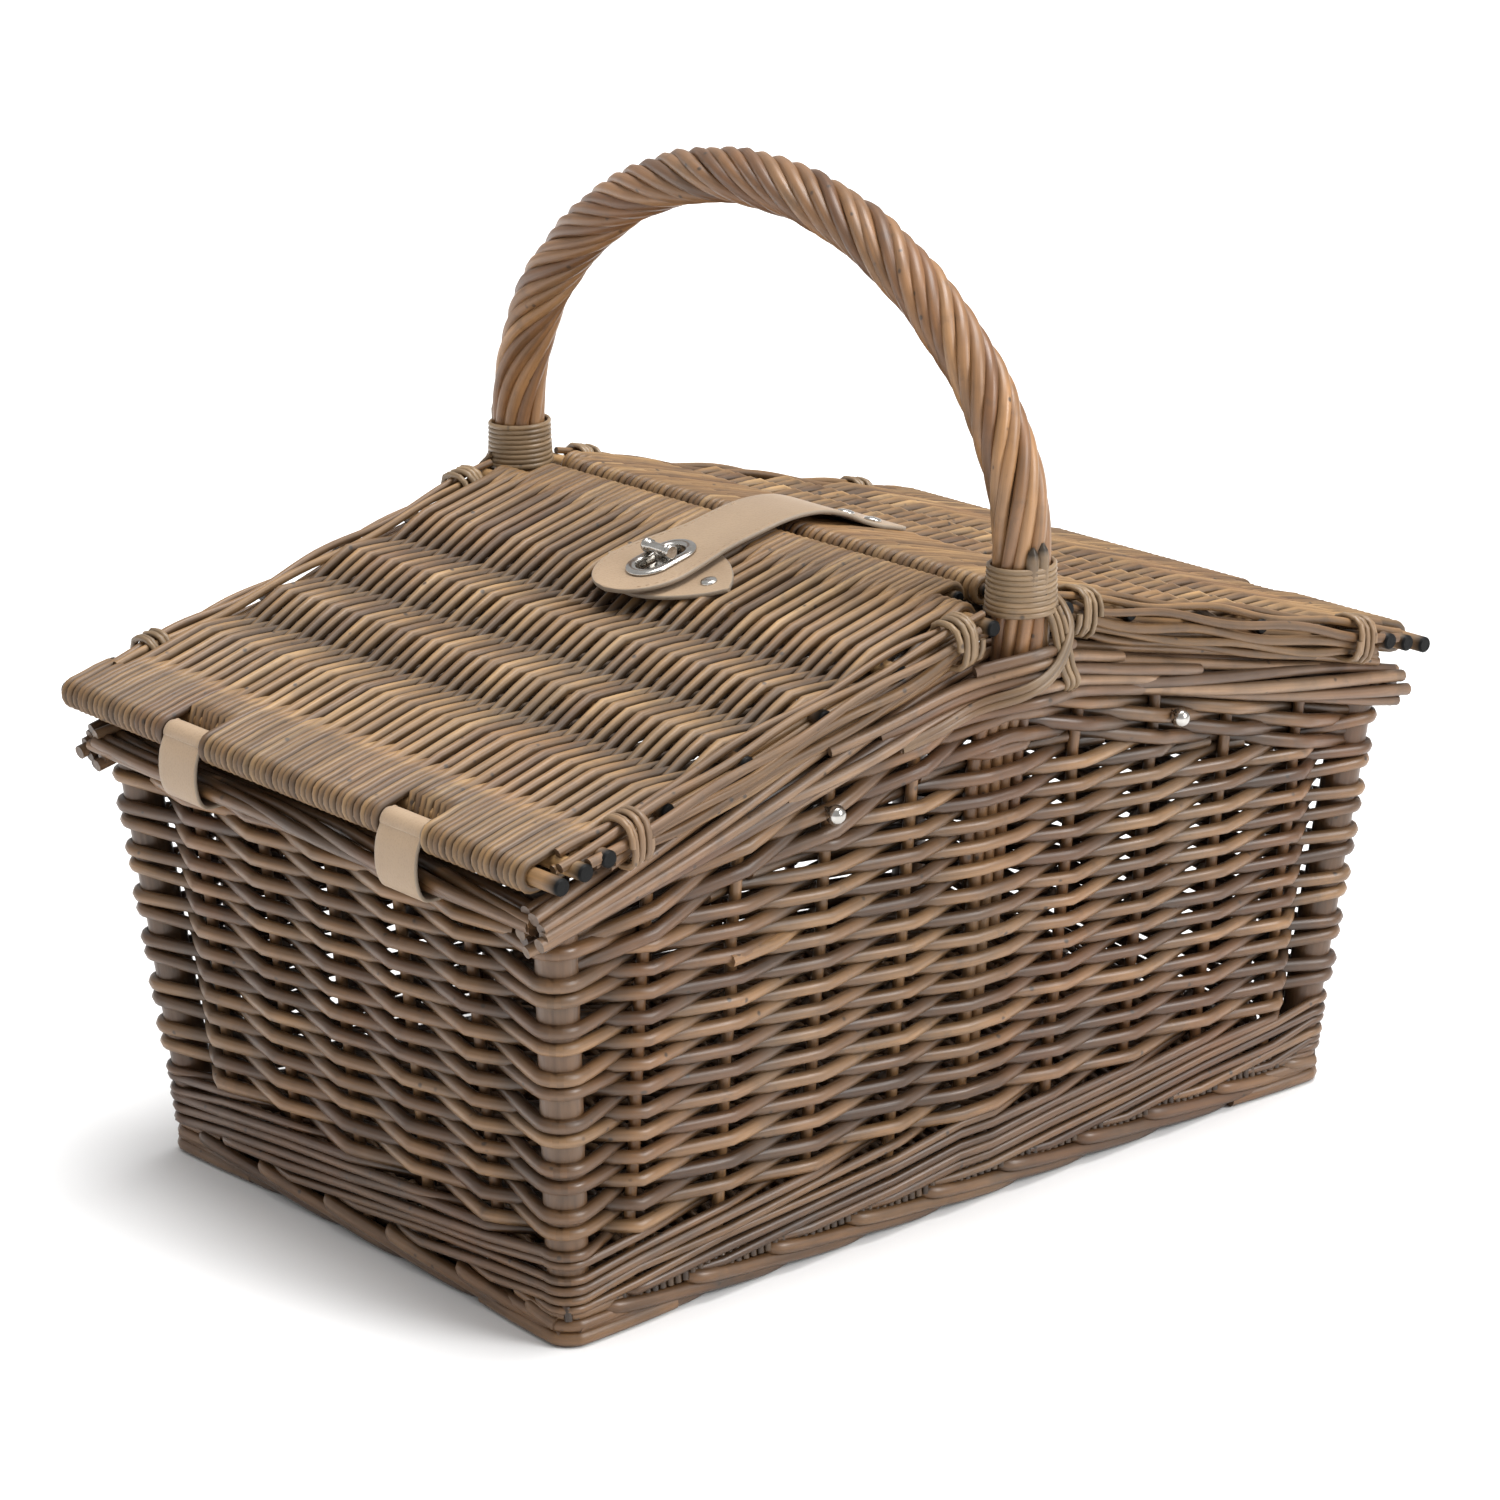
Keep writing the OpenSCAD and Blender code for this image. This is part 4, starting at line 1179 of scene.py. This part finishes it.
def build_lid_sticks(side, name):
    """The sticks across one lid, with dark painted ends."""
    cross = [(u, CROSS_HALF, 1.0) for u in CROSS_U] + [(TOP_U, STICK_HALF, 4.5)]
    edge = [(u, STICK_HALF, 5.0) for u in EDGE_U]
    ridge = [(u - RIDGE_BACK, 134, 3.5) for u in RIDGE_U]
    for part, sticks, radius in (("edge", edge, STICK_R), ("cross", cross, 3.3), ("ridge", ridge, RIDGE_R)):
        rods = Rods()
        for u, half, painted in sticks:
            ys = np.linspace(-half, half, 40)
            ys = np.concatenate([[-half, -half + 0.7], ys[1:-1], [half - 0.7, half]])
            r = np.full(len(ys), float(radius))
            r[[0, -1]] -= 0.6
            rods.tube(on_lid(side, u, ys, 0), r, 14, Z_AXIS, ends=1.0, painted=painted)
        cad = name + "_" + part + "_sticks"
        rods.object(name + "_" + part + "_rods", name, [cad], "willow_rods", LID_WILLOW)


def build_side_rods(side, name):
    """Loose rods along the two sides of a lid, laid over and under its sticks and drawn in at the ties."""
    rods = Rods()
    bundle_y = 158.4
    for sy in (-1, 1):
        for y, n, u0, u1, swing in (
            (151.8, 4.9, 14, 214, 0.9),
            (155.6, -5.4, 22, 224, -0.8),
            (158.4, 4.6, 8, 226, 1.3),
            (161.6, -4.2, 26, 216, -1.0),
            (163.6, 1.2, 18, 222, 1.1),
            (160.2, -8.4, 24, 219, 0.7),
            (154.6, -9.0, 30, 208, -0.7),
            (157.2, -11.2, 62, 222, 0.5),
            (151.4, -0.6, 12, 220, 0.3),
            (152.6, -3.6, 30, 214, -0.4),
        ):
            u0 = u0 + rng.uniform(-5, 5)
            u = np.linspace(u0, u1 + rng.uniform(-4, 4), 46)
            drift = swing * np.sin(u / 33 + y) + 0.5 * np.sin(u / 14 + n)
            lift = 1.1 * swing * np.sin(u * math.pi / 40.3 + y * 0.7)
            tie = np.exp(-((u - 38) / 16) ** 2) + np.exp(-((u - 211) / 16) ** 2)
            yy = y + drift + (bundle_y - y) * 0.25 * tie
            nn = n + lift - n * 0.18 * tie
            size = 2.05 * (1 - 0.25 * np.linspace(0, 1, len(u)) * (swing > 0)) * rng.uniform(0.95, 1.06)
            tint = 0.55 * rng.random()
            # painted shade where neighbouring rods touch
            rods.tube(on_lid(side, u, sy * yy, nn), size, 8, Y_AXIS, tint, ends=0.6, crease_shade=0.6)
    rods.object(name + "_loose_rods", name, [name + "_side_rods"], "willow_rods", LID_WILLOW)


def build_bindings(side, name):
    """Wraps of skein that tie the loose rods to the sticks."""
    rods = Rods()
    turns, reach_y, reach_n = 4, 8.6, 9.3
    t = np.linspace(0, turns, turns * 16)
    a = t * 2 * math.pi
    shape = (np.abs(np.cos(a)) ** 3 + np.abs(np.sin(a)) ** 3) ** (-1 / 3)
    for u0 in (33, 205):
        for sy in (-1, 1):
            y = sy * (158.2 + reach_y * np.cos(a) * shape)
            n = reach_n * np.sin(a) * shape - 1.2
            u = u0 + t / turns * 11 + 1.6 * np.sin(a) + 0.9 * np.sin(t * 2.3 + u0)
            rods.tube(on_lid(side, u, y, n), 1.45, 7, None, 0.55 + 0.3 * rng.random(), flat=0.8, ends=0.5)
    rods.object(name + "_wraps", name, [name + "_bindings"], "woven_willow", SKEIN_WILLOW)


def build_lids():
    """Both lids."""
    for side, name in ((-1, "lid_left"), (1, "lid_right")):
        build_lid_weave(side, name)
        build_lid_sticks(side, name)
        build_side_rods(side, name)
        build_bindings(side, name)


# ---- leather and fittings ----


def leather_section(width, thick):
    """Closed outline of a strap's section, with rounded edges: (across, up), and how much of it is edge."""
    flats, corner = 9, 5
    r = thick / 2
    w = max(width / 2 - r, 0.01)
    turn = np.radians(np.linspace(90, -90, corner + 2)[1:-1])
    face = [(x, r) for x in np.linspace(-w, w, flats)]
    half = np.array(face + [(w + 0.8 * r * math.cos(a), r * math.sin(a)) for a in turn])
    return np.vstack([half, -half]), np.tile(np.repeat([0.0, 1.0], (flats, corner)), 2)


def add_band(rods, centre, side, up, widths, thick, middles=None, closed=False):
    """Lofts a leather band: centre points, side and up directions, and a width for each station. middles
    shifts each station sideways."""
    rings, cuts = [], []
    for i, p in enumerate(centre):
        pts, edge = leather_section(widths[i], thick)
        shift = 0 if middles is None else middles[i]
        rings.append(p + (pts[:, :1] + shift) * side + pts[:, 1:] * up[i])
        cuts.append(edge)
    rings = np.array(rings)
    first = len(rods.cut)
    rods.rings(rings, rings * MM, 0.5, np.zeros(len(rings)), closed)
    rods.cut[first] = np.array(cuts).ravel()


def loop_line():
    """The middle line of a hinge loop on the right end, (x, z): over the hinge stick, down outside the end
    border, under it and up again. Returns it with the number of its points that lie on the stick."""
    hx, hz = -HINGE[0], HINGE[2]
    low, high = END_LO[2], END_HI[2]
    r = STICK_R + 0.3 + LOOP_T / 2
    over = [(hx + r * math.cos(a), hz + r * math.sin(a)) for a in np.radians(np.linspace(190, -10, 14))]
    around = [
        (HALF_L + 2.8, hz - 6),
        (HALF_L + 3.6, hz - 12),
        (HALF_L + 3.3, hz - 18),
        (HALF_L + 1.6, low + 1.5),
        (HALF_L - 1.5, low - 1.1),
        (HALF_L - 8, low - 1.2),
        (HALF_L - 17, low - 1.2),
        (HALF_L - 21.4, low + 1.0),
        (HALF_L - 21.9, high - 3),
        (HALF_L - 20.5, high + 1.5),
        (HALF_L - 12.5, high + 4.0),
        (hx - r - 0.4, hz - 8.0),
    ]
    return refine(over + around, 3, closed=True)


def build_loops():
    """Leather loops round the hinge sticks and the end borders, bulging a little outwards. They narrow
    towards the lid's inside."""
    line = loop_line()
    on_stick, stitched = 40, slice(13, 24)
    inner = np.clip((np.linspace(190, -10, on_stick) - 62) / 70, 0, 1)
    widths = np.full(len(line), LOOP_WIDTH)
    widths[:on_stick] = LOOP_WIDTH * np.sqrt(1 - 0.72 * inner**2)
    widths[-4:] = widths[0]
    side = np.array(Y_AXIS, float)
    for end in ("left", "right"):
        for place in ("front", "back"):
            y = np.full(len(line), SIGNS[place] * LOOP_Y)
            centre = np.stack([SIGNS[end] * line[:, 0], y, line[:, 1]], -1)
            up = np.cross(unit(np.roll(centre, -1, 0) - np.roll(centre, 1, 0)), side) * SIGNS[end]
            rods = Rods()
            add_band(rods, centre, side, up, widths, LOOP_T, closed=True)
            piece = rods.object("leather_loop_%s_%s" % (end, place), "basket", None, "tan_leather", LEATHER)
            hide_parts("hinge_loop_%s_%s" % (end, place))
            flat = (LOOP_WIDTH * MM, float(lengths(np.vstack([centre, centre[:1]]))[-1]) * MM)
            stitches = Rods()
            for edge in (-11.2, 11.2):
                stitch_line(stitches, centre[stitched], side, up[stitched], edge, 0.85)
            stitches.object("loop_stitches_%s_%s" % (end, place), "basket", None, "tan_leather", LEATHER)


def stitch_line(rods, centre, side, up, across, lift):
    """Stitches along a band, across mm from its middle."""
    length, gap = 2.4, 1.3
    across = np.broadcast_to(np.asarray(across, float), (len(centre),))
    pts = centre + across[:, None] * side + lift * up
    step = lengths(pts)
    s = 1.0
    while s + length < step[-1]:
        run = at_lengths(pts, np.linspace(s, s + length, 4))
        run[[0, -1]] -= 0.25 * up[min(int(np.searchsorted(step, s)), len(up) - 1)]
        rods.tube(run, 0.32, 5, None, 0.6)
        s += length + gap


def strap_line():
    """The strap's middle line, from the tongue's tip to the tail's end at even steps, and the length along
    it."""
    low = 10 + STRAP_T - STRAP_SEEN_T / 2
    tail = 7 + STRAP_T - STRAP_SEEN_T / 2
    left = [on_lid(-1, u, 0, low) for u in (158.2, 164, 172, 180, 190, 200, 207)]
    arch = [(-22, 0, 270.4), (-8, 0, 273.2), (4, 0, 274.2), (16, 0, 273.4), (28, 0, 269.9), (38, 0, 265.2)]
    right = [on_lid(1, u, 0, tail) for u in (198, 193, 188, 182)]
    return evenly(refine([*left, *arch, *right], 8), 110)


def strap_outline(s, total):
    """Half width and middle of the strap at distance s from the tongue's tip."""
    t = np.clip((s - TONGUE_R) / 36, 0, 1)
    ease = t * t * (3 - 2 * t)
    if s < TONGUE_R:
        half = math.sqrt(max(TONGUE_R**2 - (TONGUE_R - s) ** 2, 0.3))
    else:
        half = TONGUE_R + (NECK_HALF - TONGUE_R) * ease
    end = total - s
    if end < 3:
        half -= 1.5 * (1 - end / 3)
    return half, STRAP_Y + 3.0 * (1 - ease)


def slot_path(half_l, r, count=48):
    """Evenly spaced points (u, y) round the lock's slot, which is long along the slope."""
    a = np.radians(np.linspace(-90, 90, 40))
    right = np.stack([LOCK_U + half_l + r * np.cos(a), STRAP_Y + r * np.sin(a)], -1)
    left = np.stack([LOCK_U - half_l - r * np.cos(a), STRAP_Y - r * np.sin(a)], -1)
    return evenly(np.vstack([right, left, right[:1]]), count + 1)[0][:-1]


def slot_rings(half_l, r, heights):
    """Rings of a slot's outline at heights above the left lid."""
    loop = slot_path(half_l, r)
    return np.array([on_lid(-1, loop[:, 0], loop[:, 1], n) for n in heights])


def cut_slot(piece):
    """Cuts the lock's slot through a piece, square to the left lid."""
    rods = Rods()
    rings = slot_rings(SLOT_HALF, 6.2, (4, 30))
    rods.rings(rings, rings * MM, 0.5, np.ones(2))
    cutter = rods.object("slot_cutter", None, None, "tan_leather", LEATHER)
    cut = piece.modifiers.new("slot", "BOOLEAN")
    cut.operation = "DIFFERENCE"
    cut.solver = "EXACT"
    cut.object = cutter
    depsgraph = bpy.context.evaluated_depsgraph_get()
    mesh = bpy.data.meshes.new_from_object(piece.evaluated_get(depsgraph))
    piece.modifiers.clear()
    piece.data = mesh
    bpy.data.objects.remove(cutter)


def build_strap():
    """The latch strap: one piece of leather from its rivets over the ridge to the tongue."""
    line, s = strap_line()
    side = np.array(Y_AXIS, float)
    up = np.cross(unit(np.gradient(line, axis=0)), side)
    up *= np.sign(up[:, 2:])
    half, middle = np.array([strap_outline(v, s[-1]) for v in s]).T
    rods = Rods()
    add_band(rods, line, side, up, half * 2, STRAP_SEEN_T, middle)
    piece = rods.object("leather_strap", None, None, "tan_leather", LEATHER)
    cut_slot(piece)
    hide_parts("latch_strap")
    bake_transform(piece)
    area = float(np.trapz(half * 2, s)) * MM * MM

    stitches = Rods()
    inset = 3.0
    keep = (s > 5) & (s < s[-1] - 70)
    for sign in (-1, 1):
        across = middle[keep] + sign * (half[keep] - inset)
        stitch_line(stitches, line[keep], side, up[keep], across, STRAP_SEEN_T / 2)
    stitches.object("strap_stitches", "strap", None, "tan_leather", LEATHER)


def build_patch():
    """The leather patch under the lock: two arcs that meet in rounded points."""
    half_w = 20.0
    bulge = (PATCH_HALF**2 + half_w**2) / (2 * half_w)
    tip = np.linspace(-PATCH_HALF + 0.6, -PATCH_HALF + 6, 6)
    ys = np.concatenate([tip, np.linspace(-PATCH_HALF + 9, PATCH_HALF - 9, 24), -tip[::-1]])
    widths = []
    for y in ys:
        w = math.sqrt(bulge**2 - y * y) - (bulge - half_w)
        round_tip = math.sqrt(max(1 - max(abs(y) - 33, 0) ** 2 / 36.5, 0.02))
        widths.append(2 * w * round_tip + 5.5 * (1 - abs(y) / PATCH_HALF))
    rods = Rods()
    centre = on_lid(-1, LOCK_U, STRAP_Y + PATCH_Y + ys, LID_TOP + 1.1)
    up_slope = on_lid(-1, 1, 0, 0) - on_lid(-1, 0, 0, 0)
    add_band(rods, centre, up_slope, np.tile(NORMAL, (len(ys), 1)), widths, PATCH_T)
    piece = rods.object("lock_leather", "lid_left", ["lock_patch"], "tan_leather", LEATHER)


def dome(rods, origin, axis, radius):
    """A rivet head."""
    height = 1.5
    profile = [(-0.2, radius * 0.94), (0.0, radius), (0.35 * height, radius * 0.96)]
    for a in np.radians((25, 45, 65, 82)):
        profile.append((height * (0.35 + 0.65 * math.sin(a)), radius * math.cos(a)))
    rods.lathe(profile, origin, axis)


def add_rivet(rods, side, u, y, top, radius):
    """A rivet through leather and lid: its head at height top and its burr under the lid."""
    normal = NORMAL if side < 0 else RIGHT_NORMAL
    dome(rods, on_lid(side, u, y, top), normal, radius)
    rods.lathe([(-1.2, 4.2), (0, 4.5)], on_lid(side, u, y, -LID_TOP), normal)


def build_fittings():
    """Rivets, ball studs and the washers behind them."""
    rods = Rods()
    for dy in (-26, 26):
        add_rivet(rods, -1, LOCK_U, STRAP_Y + PATCH_Y + dy, LID_TOP + 2.1, 3.6)
    rods.object("patch_rivet_heads", "lid_left", ["patch_rivets"], "bright_metal", METAL)

    rods = Rods()
    for dy in (-8.5, 8.5):
        add_rivet(rods, 1, 194.3, STRAP_Y + dy, 7 + STRAP_T + 0.1, 3.9)
    rods.object("strap_rivet_heads", "lid_right", ["strap_rivets"], "bright_metal", METAL)

    studs, washers = Rods(), Rods()
    ball = [(-3.0, 1.8), (-0.4, 1.8), (0.3, 1.8)]
    ball += [(4.0 + n, r) for r, n in arc(0, 4.1, np.linspace(-50, 85, 11))]
    height = 198.0
    for _, front in LONG_SIDES:
        for sx in (-1, 1):
            axis = np.array([0, front * math.cos(math.atan(LEAN)), -math.sin(math.atan(LEAN))])
            at = np.array([sx * (STUD_HI[0] - 4), front * (WALL_Y + height * LEAN), height])
            studs.lathe(ball, at, axis)
            washers.lathe([(-15.3, 5.9), (-15.2, 6.0), (-14.2, 6.0), (-14.1, 5.9)], at, axis)
    studs.object("stud_balls", "basket", ["ball_studs"], "bright_metal", METAL)
    washers.object("stud_backs", "basket", ["stud_washers"], "bright_metal", METAL)


def build_lock():
    """The eyelet plate round the slot, the lock's base with its post, and the turn bar."""
    plate_n = 10 + STRAP_T + 0.05
    rods = Rods()
    u, y = slot_path(SLOT_HALF, 8.1, 96).T
    rods.tube(on_lid(-1, u, y, plate_n + 0.7), 2.35, 20, NORMAL, 0.5, flat=0.52, closed=True)
    rings = slot_rings(SLOT_HALF, 6.15, (plate_n + 0.6, plate_n - 2.4))
    rods.rings(rings, rings * MM, 0.5, np.zeros(2), caps=None)
    rods.object("eyelet_ring", "strap", ["eyelet_plate"], "bright_metal", METAL)

    rods = Rods()
    base_n = LID_TOP + 2.05
    for half_l, r, n0, n1 in ((5.5, 4.5, base_n, base_n + 1.2), (5.1, 4.1, base_n + 1.2, base_n + 1.8)):
        rings = slot_rings(half_l, r, (n0, n1))
        rods.rings(rings, rings * MM, 0.5, np.zeros(2), caps=(0.0, 0.0))
    at = on_lid(-1, LOCK_U, STRAP_Y, 0)
    post = [(base_n + 1, 3.6), (base_n + 2.2, 3.3), (base_n + 2.6, 2.6), (plate_n + 1.35, 2.6)]
    rods.lathe(post, at, NORMAL)
    rods.object("lock_post", "lid_left", ["lock_base"], "bright_metal", METAL)

    rods = Rods()
    rods.lathe([(0.2, 2.5), (1.4, 2.6), (3.2, 2.3)], LOCK, NORMAL)
    half_bar = [(8.5, 2.5), (8.3, 2.9), (7.4, 3.1), (6.6, 2.9), (6.4, 2.35), (5.9, 2.35)]
    half_bar += [(5.7, 2.8), (5.0, 2.8), (4.8, 2.3), (3.9, 2.2), (3.0, 2.2)]
    profile = [(-y, r) for y, r in half_bar] + half_bar[::-1]
    rods.lathe(profile, LOCK + NORMAL * 3.5, Y_AXIS, 28)
    rods.object("turn_bar_spool", "turn_bar", ["turn_bar"], "bright_metal", METAL)


# ---- studio ----


def build_camera():
    """The photo's viewpoint: a long lens in front of the near left corner, a little above."""
    place = Vector((-1.172, -1.365, 0.7413))
    yaw, pitch, roll = math.radians(40.567), math.radians(17.7315), math.radians(-0.2856)
    focal_px, photo_px, sensor = 4427.5, 1500, 36
    forward = Vector((math.sin(yaw) * math.cos(pitch), math.cos(yaw) * math.cos(pitch), -math.sin(pitch)))
    right = Vector((math.cos(yaw), -math.sin(yaw), 0.0))
    up = right.cross(forward)
    c, s = math.cos(roll), math.sin(roll)
    right, up = c * right + s * up, -s * right + c * up
    data = bpy.data.cameras.new("camera")
    camera = bpy.data.objects.new("camera", data)
    bpy.context.scene.collection.objects.link(camera)
    turn = Matrix((right, up, -forward)).transposed().to_4x4()
    camera.matrix_world = Matrix.Translation(place) @ turn
    data.sensor_width = sensor
    data.lens = focal_px / photo_px * sensor
    data.clip_start = 0.01
    data.clip_end = 50
    bpy.context.scene.camera = camera


def build_floor():
    """A plain white floor that runs out of sight."""
    mesh = bpy.data.meshes.new("floor")
    e = 12.0
    mesh.from_pydata([(-e, -e, 0), (e, -e, 0), (e, e, 0), (-e, e, 0)], [], [(0, 1, 2, 3)])
    floor = bpy.data.objects.new("floor", mesh)
    bpy.context.scene.collection.objects.link(floor)
    material, tree, shader = new_material("pale_floor")
    place = node(tree, "ShaderNodeTexCoord").outputs["Object"]
    shade = ramp(tree, noise(tree, place, 0.8, 2, 0.5), [(0.3, grey(0.86)), (0.7, grey(0.88))])
    tree.links.new(shade, shader.inputs["Base Color"])
    shader.inputs["Roughness"].default_value = 0.9
    shader.inputs["Specular IOR Level"].default_value = 0.1
    mesh.materials.append(material)


def add_lamp(name, kind, energy, towards):
    """A lamp that shines along towards."""
    data = bpy.data.lights.new(name, kind)
    data.energy = energy
    lamp = bpy.data.objects.new(name, data)
    bpy.context.scene.collection.objects.link(lamp)
    lamp.rotation_euler = Vector(towards).to_track_quat("-Z", "Y").to_euler()
    return lamp


def area_light(name, place, target, size, power):
    """A soft square lamp."""
    lamp = add_lamp(name, "AREA", power, Vector(target) - Vector(place))
    lamp.data.shape = "RECTANGLE"
    lamp.data.size = lamp.data.size_y = size
    lamp.location = place


def sun(name, towards, strength, spread):
    """A far lamp; spread softens its shadows."""
    add_lamp(name, "SUN", strength, towards).data.angle = math.radians(spread)


def build_light():
    """A soft light from above and behind and one from the front right, over a white surround."""
    world = bpy.data.worlds.new("surround")
    world.use_nodes = True
    back = world.node_tree.nodes["Background"]
    back.inputs["Color"].default_value = (1.0, 1.0, 1.0, 1.0)
    back.inputs["Strength"].default_value = 0.56
    bpy.context.scene.world = world
    sun("sun_above", (-0.16, 0.03, -1.0), 3.3, 34)
    sun("sun_front", (-0.5, 1.0, -0.75), 1.9, 26)
    area_light("top", (-0.4, -0.1, 2.0), (0, 0, 0.2), 0.9, 5)
    area_light("front", (0.5, -2.0, 0.9), (0, 0, 0.12), 0.7, 6)
    bpy.context.scene.view_settings.view_transform = "Standard"


build_camera()
build_floor()
build_light()
build_walls()
build_stakes()
build_posts()
build_foot()
build_base()
build_borders()
build_handle()
build_collars()
build_liners()
build_ties()
build_lids()
build_loops()
build_strap()
build_patch()
build_fittings()
build_lock()
